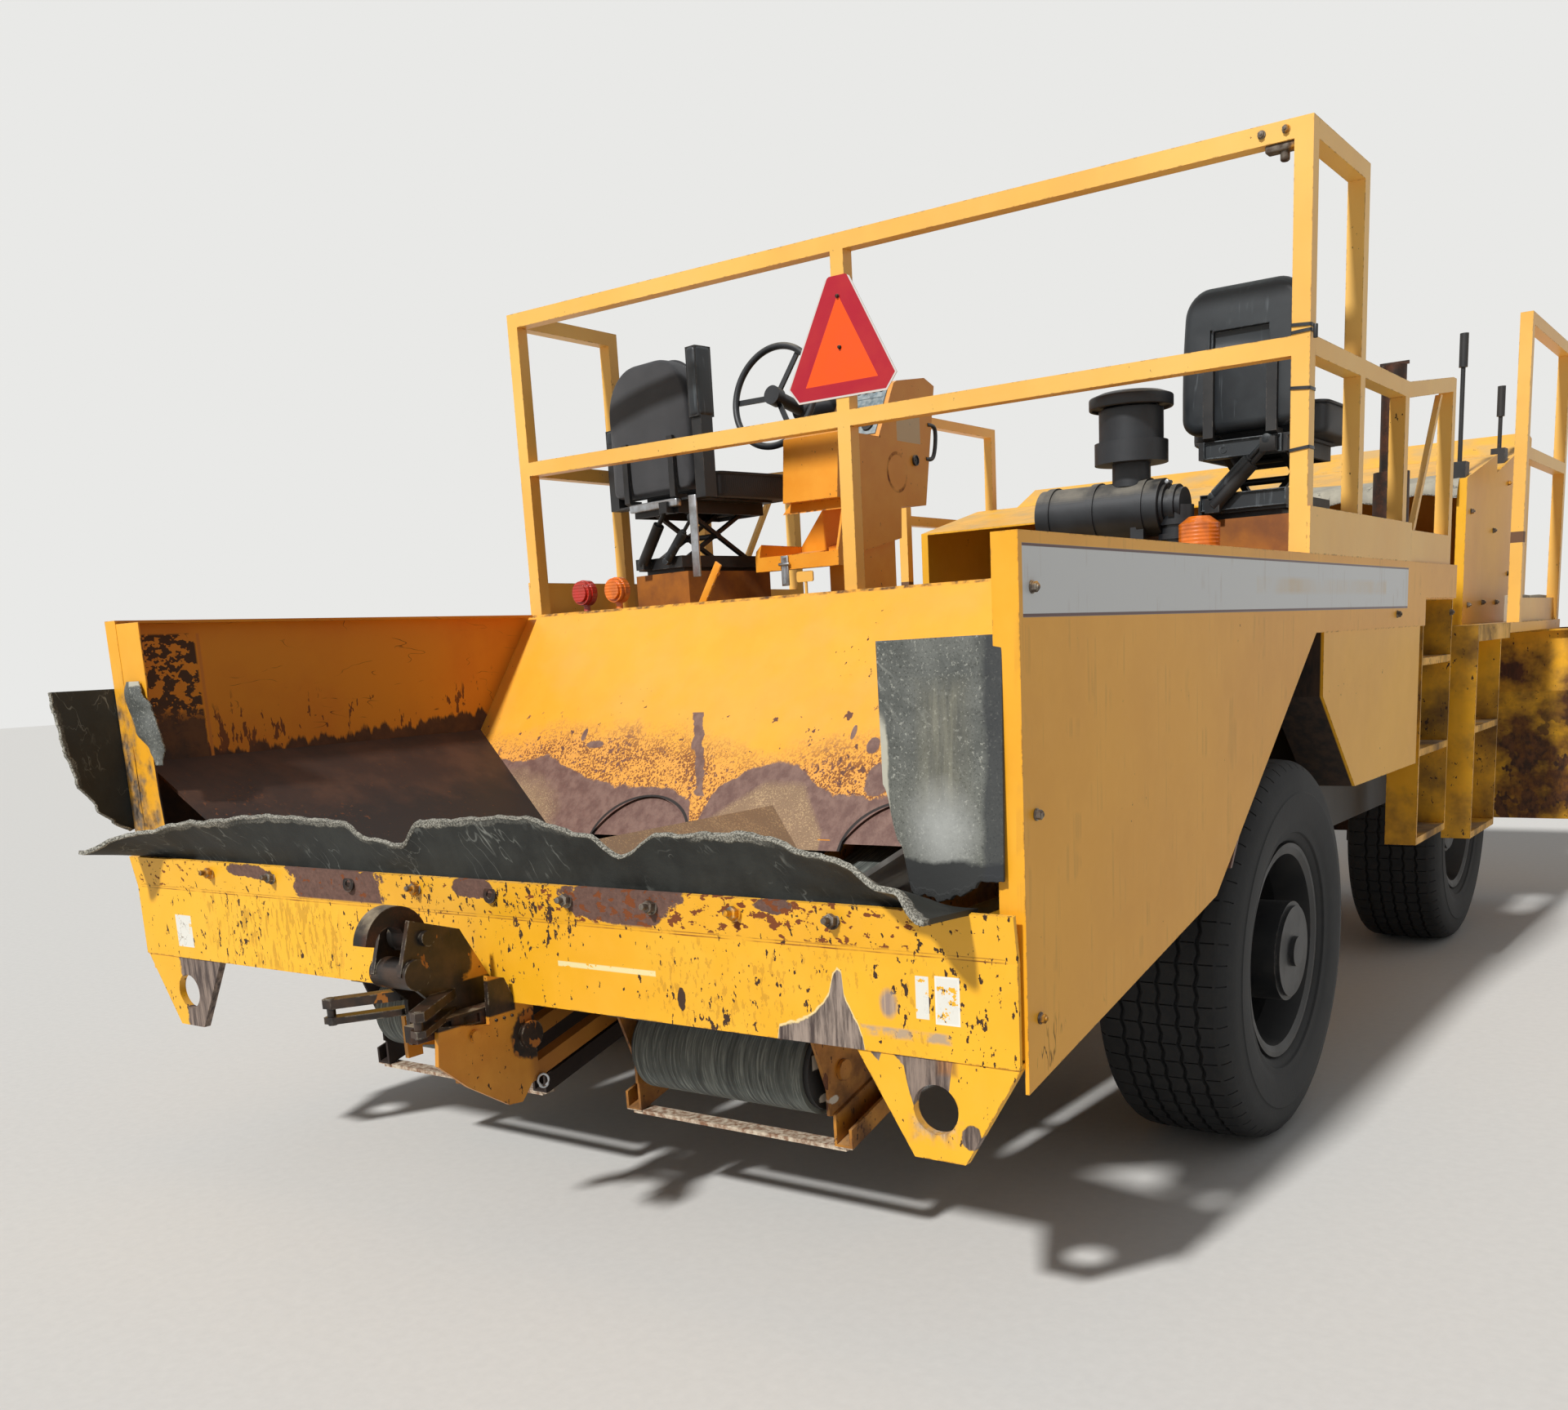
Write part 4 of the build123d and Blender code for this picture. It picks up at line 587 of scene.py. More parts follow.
def make_beam_paint():
    """Tail beam: rust eaten in along the top strip, dense flecks at the left, torn bare steel at the right."""
    coat = orange_paint("beam_paint", flecks=0.62, rust=0.05, dust=0.1, wear=1.0)
    rusty = coat.mix(coat.noise(75.0, 5.0, 0.7), "33201a", "866355")
    strip = coat.box((-1.42, -2.75, 0.842), (1.42, -2.6, 0.96), 0.006)
    eaten = coat.dab((-0.50, 0, 0.885), (0.21, 9, 0.085), 0.24, 0.05, 11.0)
    for middle, radii in (((0.495, 0, 0.915), (0.175, 9, 0.085)), ((0.02, 0, 0.905), (0.07, 9, 0.030)),
                          ((-0.86, 0, 0.905), (0.10, 9, 0.022)), ((0.90, 0, 0.915), (0.05, 9, 0.018))):
        eaten = coat.most(eaten, coat.dab(middle, radii, 0.24, 0.05, 11.0))
    coat.over(coat.times(strip, eaten), rusty, 0.9, -0.0009)
    coat.over(coat.times(strip, coat.chips(34.0, 0.7, 1.6)), "7a3f18", 0.9, -0.0004)
    for low, high in ((0.8335, 0.8375), (0.8405, 0.8435)):
        crease = coat.box((-1.42, -2.75, low), (1.42, -2.6, high), 0.0015)
        coat.over(coat.times(crease, coat.clouds(7.0, 1.3)), "7d4314", 0.8)
    left = coat.box((-1.12, -2.75, 0.62), (-0.50, -2.6, 0.85), 0.10)
    coat.over(coat.times(left, coat.chips(95.0, 1.0, 0.24)), FLECK, 0.85, -0.0005)
    runs = coat.box((0.52, -2.75, 0.62), (1.30, -2.6, 0.85), 0.12)
    coat.over(coat.times(runs, coat.chips(85.0, 0.80, 0.45)), FLECK, 0.85, -0.0004)
    scraped = coat.streaky("3f322e", "9a897c")
    coat.over(coat.below(tuple((x, z + 0.006) for x, z in SPIKE), 0.006, 0.003, 30.0), "e9cf94", 0.6)
    coat.over(coat.below(SPIKE, 0.006, 0.003, 30.0), scraped, 0.65, -0.0006)
    worn = coat.box((1.09, -2.8, 0.664), (1.30, -2.6, 0.690), 0.006)
    coat.over(coat.times(worn, coat.clouds(26.0, 1.4)), "b49a7c", 0.7)
    smear = coat.dab((1.160, 0, 0.735), (0.026, 9, 0.038), 0.08, 0.35)
    coat.over(coat.times(smear, 0.85), coat.streaky("77727c", "b7a08c", 0.03), 0.6)
    coat.over(coat.dab((0.634, 0, 0.692), (0.011, 9, 0.026), 0.22, 0.1), FLECK, 0.8)
    # Bare remains of paper plates, with nothing on them
    rest = coat.ramp(coat.noise(48.0, 5.0), 0.385, 0.405)
    for low, high in (((-1.268, -2.75, 0.668), (-1.190, -2.6, 0.762)), ((1.266, -2.75, 0.707), (1.316, -2.6, 0.798)),
                      ((1.221, -2.75, 0.712), (1.251, -2.6, 0.797))):
        plate = coat.box(low, high, 0.001)
        coat.over(coat.times(plate, rest), "dedbd0", 0.6)
        lines = coat.scratches((1.0, 1.0, 1.0), 40.0, 0.02)
        coat.over(coat.times(plate, lines), "7c6a52", 0.7)
    border = coat.less(coat.box((1.264, -2.75, 0.705), (1.318, -2.6, 0.800), 0.0005),
                       coat.box((1.268, -2.75, 0.709), (1.314, -2.6, 0.796), 0.0005))
    coat.over(coat.most(border, 0.0), "e6e3d8", 0.6)
    stripe = coat.box((0.270, -2.75, 0.736), (0.566, -2.6, 0.750), 0.002)
    coat.over(coat.times(stripe, rest), "e8d79c", 0.6)
    return coat.done()


def make_eye_paint():
    """Tow-eye plates: bare, scraped steel where chains have run, orange below."""
    coat = orange_paint("eye_paint", flecks=0.6, rust=0.15, dust=0.1, wear=1.4)
    tone = coat.streaky("3f322e", "8d7b6e")
    above = coat.less(coat.up, coat.profile(EYE_BARE))
    right = coat.times(coat.ragged(above, 0.0, 0.008, 0.004, 26.0), coat.ramp(coat.across, 0.0, 0.1))
    patch = coat.dab((1.332, 0, 0.488), (0.024, 9, 0.030), 0.12, 0.1)
    left = coat.times(coat.ragged(coat.across, -1.285, 0.016, 0.006, 16.0), coat.ramp(coat.across, 0.0, -0.1))
    coat.over(coat.times(right, coat.ramp(coat.across, 1.315, 1.295)), tone, 0.6, -0.0004)
    coat.over(coat.most(patch, left), tone, 0.6, -0.0004)
    brown = coat.box((1.255, -2.8, 0.60), (1.310, -2.6, 0.70), 0.012)
    coat.over(coat.times(brown, 0.7), coat.streaky("5f3a22", "b3793e"), 0.7)
    pale = coat.box((1.19, -2.8, 0.455), (1.32, -2.6, 0.520), 0.025)
    coat.over(coat.times(pale, coat.clouds(24.0, 1.3)), coat.streaky("9b7348", "cdb391"), 0.7)
    return coat.done()


def make_deck_paint():
    """Deck and platform: paint walked off, dust lying on it."""
    coat = orange_paint("deck_paint", flecks=0.3, rust=0.25, dust=0.9, wear=1.2)
    worn = coat.times(coat.facing((0.0, 0.0, 1.0)), coat.clouds(2.2, 0.9))
    coat.over(worn, "5b5148", 0.9)
    return coat.done()


def make_hopper_paint():
    """Spread hopper: orange outside, its rear-facing faces darkened brown as painted shade, brown patches towards the
    bottom.
    """
    coat = orange_paint("hopper_paint", flecks=0.4, rust=0.4, dust=0.4, wear=1.2)
    # Painted shade: rear-facing faces darkened to a streaky dark brown
    rear_painted_shade = coat.times(coat.facing((0.0, -1.0, 0.0)), coat.clouds(3.0, 1.6))
    coat.over(rear_painted_shade, coat.streaky("2b1710", "57301c", 0.2, 30.0), 0.8)
    low = coat.ramp(coat.up, 1.15, 0.75)
    torn = coat.chips(9.0, 0.9, 0.5)
    coat.over(coat.times(low, coat.clouds(6.0, 0.8)), coat.streaky("5a3719", "96601f", 0.2, 40.0), 0.8)
    coat.over(coat.times(low, torn), coat.streaky("3a2418", "6e4424", 0.2, 40.0), 0.8)
    return coat.done()


def make_rail_paint():
    """Guard rails: the same enamel, bleached by the sun, with a dark splice low on the front posts."""
    coat = orange_paint("rail_paint", flecks=0.22, rust=0.05, dust=0.2, wear=0.9, paint=FADED_PAINT, shade=FADED_SHADE)
    splice = coat.box((-1.6, 1.70, 1.700), (1.6, 2.0, 1.745), 0.001)
    coat.over(splice, "6b4a30", 0.7)
    return coat.done()


def make_ladder_paint():
    """Ladders: boots have worn the paint, and most of it is darkened to brown as painted shade."""
    coat = orange_paint("ladder_paint", flecks=0.5, rust=0.5, dust=0.5, wear=1.4)
    # Painted shade: brown clouds over most of the ladders
    coat.over(coat.clouds(4.0, 0.9), "4a3426", 0.85)
    return coat.done()


def make_worn_floor():
    """Bin floor: gravel keeps the steel bare; chutes dark brown partly as painted shade, nearly black low down; sandy
    ridge between belts.
    """
    # Dark brown chutes: partly the steel's own brown, partly painted shade
    coat = Coat("worn_floor", "2c1a12", 0.6)
    coat.over(coat.clouds(5.0, 1.0), "4a3022")
    # Painted shade: nearly black towards the bottom, deep in the chutes
    coat.over(coat.ragged(coat.times(coat.up, -1.0), -1.07, 0.06, 0.08), "170d0a", 0.6)
    coat.over(coat.times(coat.chips(60.0, 0.5), coat.clouds(4.0, 1.0)), "6b4128", 0.8)
    dusty = coat.ramp(coat.across, 0.70, 0.90)
    coat.over(coat.times(dusty, coat.clouds(6.0, 1.0)), "6f6c66", 0.85)
    ridge = coat.ramp(coat.calc("ABSOLUTE", coat.across), 0.205, 0.200)
    coat.over(ridge, "8b7158", 0.6)
    coat.over(coat.times(ridge, coat.chips(210.0, 0.9)), "b3946f", 0.7)
    return coat.done()


def make_dark_steel():
    """Greasy, dusty dark steel of the axles, the hook and the exhaust."""
    coat = Coat("dark_steel", "25211e", 0.5, 0.5)
    coat.over(coat.group("rust_tone", dark="1a1411", light="4a3224"), "25211e")
    coat.over(coat.clouds(11.0, 0.5), coat.group("rust_tone"), 0.85)
    coat.over(coat.worn_edges(0.8), "7d7268", 0.45)
    coat.over(coat.times(coat.facing((0, 0, 1)), coat.clouds(12.0, 0.7)), DUST, 0.95)
    return coat.done()


def make_black_paint():
    """Black paint of the wheels and the seats' frames, dulled by dust."""
    coat = Coat("black_paint", "17181a", 0.45)
    coat.over(coat.clouds(8.0, 0.5), "34322f", 0.75)
    coat.over(coat.chips(60.0, 0.25), "5a3a26", 0.85)
    coat.over(coat.worn_edges(0.7), "6b625a", 0.6)
    pedestal = coat.box((-1.5, -1.0, 1.590), (1.5, 0.0, 1.729), 0.0005)
    coat.over(pedestal, coat.mix(coat.clouds(6.0, 1.0), "a8641a", "7a451a"), 0.6)
    return coat.done()


def make_engine_paint():
    """Engine block behind the covers: grey darkened nearly to black as painted shade, darker patches and dust on top.
    """
    # Painted shade: the block's grey is darkened nearly to black
    coat = Coat("engine_paint", "282725", 0.6)
    coat.over(coat.clouds(4.0, 0.8), "151413", 0.5)
    coat.over(coat.times(coat.facing((0, 0, 1)), coat.clouds(10.0, 0.8)), DUST, 0.95)
    return coat.done()


def make_belt_rubber():
    """Conveyor belts: grey-green with stone dust, scored along their travel."""
    coat = Coat("belt_rubber", "4c504c", 0.75)
    coat.over(coat.clouds(3.0, 0.8), "676b64")
    fine = coat.stretched((1.0, 0.05, 0.05))
    coat.over(coat.ramp(noise(coat.tree, fine, 190.0, 4.0, 0.7), 0.48, 0.66), "7b7f78", 0.8)
    coat.over(coat.ramp(noise(coat.tree, fine, 120.0, 3.0, 0.7), 0.52, 0.34), "393c39", 0.8)
    return coat.done()


def make_flap_rubber():
    """The rear flap and the left ear: nearly black, scratched, with a pale frayed edge."""
    return aged_rubber("flap_rubber", "171814", "272823", "3a3b36", 0.085)[0].done()


def make_chalky_rubber():
    """The right corner's flap: grey, paler low down, with its torn inner edge nearly white."""
    coat, uv = aged_rubber("chalky_rubber", "474945", "5c5e59", "85867f", 0.03)
    coat.over(coat.ramp(coat.up, 1.30, 1.10, 0.0, 0.55), "77786f", 0.9)
    coat.over(coat.ramp(coat.noise(210.0, 4.0, 0.7), 0.52, 0.64, 0.0, 0.6), "34352f", 0.9)
    coat.over(coat.ramp(coat.noise(150.0, 5.0, 0.7), 0.56, 0.66, 0.0, 0.7), "a7a79c", 0.9)
    tall = coat.box((1.22, -9, 1.10), (1.36, 9, 1.36), 0.05)
    coat.over(coat.times(tall, 0.45), coat.streaky("5f5c50", "8f8b76", 0.08, 60.0), 0.9)
    worn = coat.dab((1.285, 0, 1.075), (0.10, 9, 0.11), 0.06, 0.8, 30.0)
    coat.over(coat.times(worn, 0.8), "b4b5b0", 0.9)
    hem = coat.ragged(coat.up, 1.012, 0.012, 0.010, 12.0)
    coat.over(coat.less(1.0, hem), "2c2d2c", 0.85)
    side = coat.ragged(coat.across, 1.372, 0.006, 0.012, 9.0)
    coat.over(coat.times(side, 0.75), "2a2c2f", 0.85)
    inner = coat.times(coat.ragged(uv[0], 0.93, 0.02, 0.02, 20.0), coat.ramp(uv[1], 0.45, 0.60))
    coat.over(inner, "b7b3a2", 0.95)
    return coat.done()


def aged_rubber(name, dark, middle, pale, frayed):
    """Old conveyor rubber; frayed is how far its pale torn edge reaches in, as a share of the sheet."""
    coat = Coat(name, dark, 0.62)
    coat.over(coat.clouds(4.0, 0.8), middle, 0.75)
    coat.over(coat.clouds(16.0, 0.3), pale, 0.85)
    slant = put(coat.tree, "ShaderNodeMapping", {"Vector": coat.spot, "Rotation": (0.0, 0.6, 0.0)}).outputs[0]
    coat.over(coat.times(coat.scratches((1.0, 1.0, 0.25), 9.0, 0.010, slant), coat.clouds(8.0, 0.8)), "8d8e86", 0.85)
    coat.over(coat.scratches((1.0, 1.0, 0.15), 22.0, 0.012, slant), "5e5f59", 0.85)
    uv = put(coat.tree, "ShaderNodeSeparateXYZ", {0: put(coat.tree, "ShaderNodeTexCoord").outputs["UV"]}).outputs
    patches = coat.ramp(coat.noise(2.3, 2.0), 0.42, 0.56)
    thick = coat.ragged(uv[1], 1.0 - frayed, frayed * 0.5, frayed * 0.25, 16.0)
    thin = coat.ragged(uv[1], 1.0 - frayed * 0.3, frayed * 0.08, frayed * 0.1, 16.0)
    ragged_edge = coat.most(coat.times(thick, patches), thin)
    fibres = coat.noise(230.0, 5.0, 0.7)
    tone = coat.mix(coat.ramp(fibres, 0.40, 0.62), "4f4d45", "b9b5a7")
    coat.over(ragged_edge, tone, 0.95)
    coat.height = coat.plus(coat.times(coat.noise(70.0, 4.0), 0.0010),
                            coat.times(coat.times(ragged_edge, fibres), 0.004))
    return coat, uv


def make_tyre_rubber():
    """Tyre rubber, grey with road dust."""
    coat = Coat("tyre_rubber", "0e0f11", 0.75)
    coat.over(coat.clouds(5.0, 0.7), "191a1c", 0.85)
    coat.over(coat.clouds(22.0, 0.25), "383735", 0.95)
    coat.height = coat.times(coat.noise(120.0, 3.0), 0.0006)
    return coat.done()


def make_seat_cover():
    """Woven seat cover, near black."""
    coat = Coat("seat_cover", "222326", 0.9)
    coat.over(coat.clouds(9.0, 0.5), "3a3a3d")
    warp = put(coat.tree, "ShaderNodeTexWave", {"Vector": coat.spot, "Scale": 160.0, "Distortion": 0.4},
               bands_direction="X").outputs[1]
    weft = put(coat.tree, "ShaderNodeTexWave", {"Vector": coat.spot, "Scale": 160.0, "Distortion": 0.4},
               bands_direction="Z").outputs[1]
    weave = coat.most(warp, weft)
    coat.over(coat.times(weave, 0.25), "4a4b4e")
    coat.height = coat.times(weave, 0.0008)
    coat.shader.inputs["Sheen Weight"].default_value = 0.25
    return coat.done()


def make_seat_vinyl():
    """The right seat's smooth foam pads."""
    coat = Coat("seat_vinyl", "1d2024", 0.5)
    coat.over(coat.clouds(8.0, 0.5), "34373a", 0.65)
    coat.height = coat.times(coat.noise(300.0, 3.0), 0.0005)
    return coat.done()


def make_shell_plastic():
    """The right seat's moulded shell, bleached grey on top and streaked."""
    coat = Coat("shell_plastic", "1e2226", 0.42)
    coat.over(coat.clouds(6.0, 0.5), "343a3d", 0.55)
    streaks = coat.scratches((6.0, 6.0, 0.5), 4.0, 0.03)
    coat.over(coat.times(streaks, 0.5), "596064", 0.6)
    coat.over(coat.worn_edges(0.7), "8d969a", 0.6)
    coat.over(coat.times(coat.facing((0, 0, 1)), coat.clouds(9.0, 1.0)), "7c8688", 0.8)
    coat.height = coat.times(coat.noise(500.0, 2.0), 0.0003)
    return coat.done()


def make_hood_rubber():
    """Apron over the hood's rear edge, nearly white from the sun."""
    return aged_rubber("hood_rubber", "8d887a", "aaa492", "c9c3af", 0.05)[0].done()


def make_grey_board():
    """Weathered toe boards with a fine upright grain."""
    coat = Coat("grey_board", "a49d8c", 0.85)
    coat.over(coat.clouds(6.0, 0.8), coat.streaky("6f6757", "c2bba8", 0.05, 60.0))
    coat.over(coat.chips(50.0, 0.3), "4c4234", 0.9)
    return coat.done()


def make_bolt_steel():
    """Bolts: some paint, some rust, pale worn ends."""
    coat = Coat("bolt_steel", "6f665b", 0.5, 0.4)
    coat.over(coat.ramp(coat.noise(9.0, 2.0), 0.53, 0.58), PAINT_SHADE, 0.5)
    coat.over(coat.clouds(40.0, 0.9), "3c281b", 0.85)
    coat.over(coat.worn_edges(1.0), "b3aa98", 0.5)
    return coat.done()


def make_dash_board():
    """Instrument panel: grey with a blue display strip, under dust."""
    coat = Coat("dash_board", "76878e", 0.38)
    coat.over(coat.clouds(22.0, 0.8), "4c5a60", 0.55)
    strip = coat.box((-0.640, -0.2, 2.290), (-0.475, 0.1, 2.312), 0.002)
    coat.over(strip, "2f7fae", 0.3)
    coat.over(coat.times(coat.clouds(60.0, 0.7), coat.facing((0, -0.86, 0.508))), "a9b1b0", 0.7)
    return coat.done()


def make_bright_steel():
    """Bare and plated steel of small trim, a little dulled."""
    coat = Coat("bright_steel", "b9bcc0", 0.28, 0.9)
    coat.over(coat.clouds(30.0, 0.5), "7e7a74", 0.5)
    return coat.done()


def make_black_plastic():
    """Moulded black plastic with a fine grain and dust on top."""
    coat = Coat("black_plastic", "1b1d20", 0.42)
    coat.over(coat.clouds(7.0, 0.45), "33363a", 0.6)
    coat.over(coat.times(coat.facing((0, 0, 1)), coat.clouds(9.0, 0.7)), "8b8578", 0.9)
    coat.height = coat.times(coat.noise(420.0, 2.0), 0.0003)
    return coat.done()


def make_emblem_sheet():
    """Slow-vehicle emblem: bright orange middle, dark red reflective border."""
    coat = Coat("emblem_sheet", "ff5603", 0.35)
    slope = 300.0 / 158.0
    side = coat.calc("ABSOLUTE", coat.across)
    rise = coat.less(coat.up, EMBLEM_MIDDLE)
    edge = coat.plus(coat.times(side, slope), rise)
    inside = coat.times(coat.ramp(edge, 0.125, 0.123), coat.ramp(rise, -0.134, -0.132))
    coat.over(coat.less(1.0, inside), "b00c28", 0.3)
    coat.over(coat.clouds(12.0, 0.15), "d24a2a", 0.5)
    lower = coat.less(coat.times(side, 0.784), coat.times(rise, 0.620))
    rim = coat.most(coat.ramp(edge, 0.243, 0.246), coat.ramp(rise, -0.1715, -0.1735))
    coat.over(coat.most(rim, coat.ramp(lower, 0.2335, 0.2350)), "d5cfc9", 0.4)
    return coat.done()


def make_lamp_lens():
    """Ribbed plastic lamp lens: red at the left, amber beside it, orange at the right."""
    coat = Coat("lamp_lens", "c4281c", 0.25)
    coat.over(coat.ramp(coat.across, -1.105, -1.10), "f07a12")
    coat.over(coat.clouds(20.0, 0.5), "7a3a20", 0.6)
    rings = put(coat.tree, "ShaderNodeTexWave", {"Vector": coat.spot, "Scale": 30.0}, bands_direction="Z").outputs[1]
    coat.height = coat.times(rings, 0.001)
    coat.shader.inputs["Coat Weight"].default_value = 0.6
    return coat.done()


def make_conveyor_paint():
    """Conveyor troughs: ochre under rust and dirt, the left one darkened as painted shade, the drums' ends black, the
    scraper bar pale and bare.
    """
    coat = orange_paint("conveyor_paint", flecks=0.55, rust=0.55, dust=0.2, wear=1.6, paint="b8781f", shade="935716")
    coat.over(coat.clouds(7.0, 0.9), "4d301b", 0.8)
    # Painted shade: the whole left trough, left of the middle, darkened nearly black
    coat.over(coat.ramp(coat.across, 0.10, 0.05), "21140d", 0.8)
    for middle in BELT_MIDDLES:
        drum = coat.dab((middle, *TAIL_PULLEY), (9, 0.101, 0.101), 0.0, 0.01)
        ends = coat.box((middle - 0.285, -9, 0), (middle + 0.285, 9, 9), 0.002)
        coat.over(coat.times(drum, ends), "1d1b1a", 0.6)
    white = coat.dab((0.76, TAIL_PULLEY[0] - 0.040, TAIL_PULLEY[1] - 0.062), (0.1, 0.024, 0.011), 0.15, 0.2, 40.0)
    square = coat.box((0.755, TAIL_PULLEY[0] - 0.080, TAIL_PULLEY[1] + 0.012),
                      (0.775, TAIL_PULLEY[0] - 0.052, TAIL_PULLEY[1] + 0.050), 0.003)
    coat.over(coat.most(white, square), "c9c2b4", 0.8)
    bar = coat.box((-1.0, -2.41, SCRAPER_Z - 0.007), (1.0, -2.34, SCRAPER_Z + 0.006), 0.001)
    coat.over(bar, coat.streaky("7d5a42", "cabca6", 1.0, 60.0), 0.8)
    return coat.done()


def make_console_paint():
    """Console: a deeper orange than the rest, with rust coming through."""
    coat = orange_paint("console_paint", flecks=0.3, rust=0.22, dust=0.3, wear=0.9, paint="ef9a1e", shade="dd8414")
    ring = coat.less(coat.along, -0.026)
    rise = coat.less(coat.up, 2.069)
    reach = coat.calc("POWER", coat.plus(coat.times(ring, ring), coat.times(rise, rise)), 0.5)
    blank = coat.box((-0.43, -0.020, 2.185), (-0.40, 0.155, 2.330), 0.001)
    coat.over(coat.times(blank, 0.72), "d8cfb4", 0.6)
    coat.over(coat.times(blank, coat.chips(30.0, 0.35, 0.6)), "c98a3a", 0.6)
    mark = coat.times(coat.ramp(reach, 0.062, 0.066), coat.ramp(reach, 0.078, 0.074))
    coat.over(coat.times(mark, coat.clouds(14.0, 1.2)), "6e2c12", 0.8)
    return coat.done()


def make_hitch_paint():
    """Truck hitch: black grease over the fork and the hook's plates, ochre left on the foot and by the beam, the strut
    under it in painted shade.
    """
    coat = orange_paint("hitch_paint", flecks=0.5, rust=0.4, dust=0.1, wear=1.0, paint="d28d26", shade="b5701c")
    behind = coat.less(BEAM_REAR, coat.along)
    level = coat.plus(behind, coat.times(coat.less(coat.up, 0.66), 0.55))
    fork = coat.box((-0.3, -3.2, 0.615), (0.3, -2.715, 0.705), 0.004)
    plates = coat.ramp(coat.calc("ABSOLUTE", coat.across), 0.075, 0.070)
    greasy = coat.times(coat.ragged(level, 0.115, 0.030, 0.010, 9.0), plates)
    # Painted shade: the strut under the beam darkened brown
    strut = coat.box((-0.3, -2.69, 0.3), (0.3, -2.0, 0.7), 0.02)
    coat.over(coat.times(strut, 0.5), "6d4420", 0.8)
    away = coat.less(coat.along, -2.68)
    rise = coat.less(coat.up, 0.548)
    round_boss = coat.calc("POWER", coat.plus(coat.times(away, away), coat.times(rise, rise)), 0.5)
    boss = coat.ragged(coat.times(round_boss, -1.0), -0.062, 0.012, 0.008, 16.0)
    grease = coat.mix(coat.clouds(18.0, 1.0), "17120e", "3f2c1e")
    every_mask = coat.most(coat.most(fork, greasy), boss)
    coat.over(every_mask, grease, 0.42)
    coat.over(coat.times(every_mask, coat.worn_edges(1.2)), "8f8676", 0.5)
    left_over = coat.chips(20.0, 0.4, 0.6)
    coat.over(coat.times(every_mask, left_over), "a4631e", 0.6)
    return coat.done()


low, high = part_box("emblem")
EMBLEM_MIDDLE = (low.z + high.z) / 2

# Which finish each CAD node takes; those with no node are for the modelled pieces
FINISHES = (
    (make_side_paint, ("side_panel_left", "side_panel_right")),
    (make_bin_wall_paint, ("bin_front_wall",)),
    (make_beam_paint, ("rear_beam",)),
    (make_eye_paint, ("tow_eyes",)),
    (make_deck_paint, ("deck", "front_platform")),
    (make_rail_paint, ("rear_rail", "side_rail_left", "side_rail_right", "front_rails")),
    (make_ladder_paint, ("rear_ladders", "front_ladders")),
    (make_frame_paint, ("main_frame", "side_boxes", "discharge_hood")),
    (make_hopper_paint, ("spread_hopper", "gate_bank")),
    (make_conveyor_paint, ("conveyor_left", "conveyor_right")),
    (make_console_paint, ("console",)),
    (make_hitch_paint, ("hitch_frame",)),
    (make_worn_floor, ("bin_floor", "spread_roll")),
    (make_dark_steel, ("rear_axle", "front_axle", "knuckle_left", "knuckle_right", "exhaust_stack", "hitch_hook")),
    (make_black_paint, ("wheel_rear_left", "wheel_rear_right", "wheel_front_left", "wheel_front_right",
                        "seat_frame_left", "seat_frame_right", "control_levers")),
    (make_engine_paint, ("engine_block",)),
    (make_belt_rubber, ("belts",)),
    (make_flap_rubber, ("rear_flap", "corner_flaps")),
    (make_chalky_rubber, ()),
    (make_seat_vinyl, ()),
    (make_shell_plastic, ()),
    (make_hood_rubber, ()),
    (make_grey_board, ()),
    (make_bolt_steel, ()),
    (make_bright_steel, ()),
    (make_dash_board, ()),
    (make_tyre_rubber, ("tyre_rear_left", "tyre_rear_right", "tyre_front_left", "tyre_front_right")),
    (make_seat_cover, ("seat_pads_left", "seat_pads_right")),
    (make_black_plastic, ("steering_wheel", "air_cleaner")),
    (make_emblem_sheet, ("emblem",)),
    (make_lamp_lens, ("lamps",)),
)
FINISH = {}
for make, names in FINISHES:
    material = make()
    FINISH[make.__name__[5:]] = material
    for name in names:
        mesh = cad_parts[name].data
        mesh.materials.clear()
        mesh.materials.append(material)

# Stations in the CAD frame, in metres
TAIL = -2.7                                  # rear edge of the side panels
REAR_AXLE, FRONT_AXLE, HUB = TAIL + 1.64, TAIL + 4.56, 0.53
REAR_TRACK, FRONT_TRACK = 1.247, 1.107       # middles of the tyres
BEAM_FACE = TAIL - 0.020
PANEL_FACE = 1.448
HOOD_SIDE, HOPPER_END = 1.300, 1.851
SIDES = (("left", -1), ("right", 1))


def by_itself(piece):
    """Selects one piece and nothing else."""
    bpy.ops.object.select_all(action="DESELECT")
    piece.select_set(True)
    bpy.context.view_layer.objects.active = piece


def start(add, name, **place):
    """A new primitive by itself, with its place and size applied to its mesh."""
    bpy.ops.object.select_all(action="DESELECT")
    add(**place)
    piece = bpy.context.object
    piece.name = name
    bpy.ops.object.transform_apply(location=True, rotation=True, scale=True)
    return piece


def box_between(name, low, high):
    """A block from its lowest to its highest corner, to be shaped further."""
    middle = [(a + b) / 2 for a, b in zip(low, high)]
    size = [b - a for a, b in zip(low, high)]
    return start(bpy.ops.mesh.primitive_cube_add, name, size=1.0, location=middle, scale=size)


def rod(name, centre, radius, length, axis="z", sides=24):
    """A round bar about its middle, to be shaped further."""
    turn = {"x": (0, pi / 2, 0), "y": (pi / 2, 0, 0), "z": (0, 0, 0)}[axis]
    return start(bpy.ops.mesh.primitive_cylinder_add, name, vertices=sides, radius=radius, depth=length,
                 location=centre, rotation=turn)


def edit(piece):
    by_itself(piece)
    bpy.ops.object.mode_set(mode="EDIT")


def leave():
    bpy.ops.object.mode_set(mode="OBJECT")


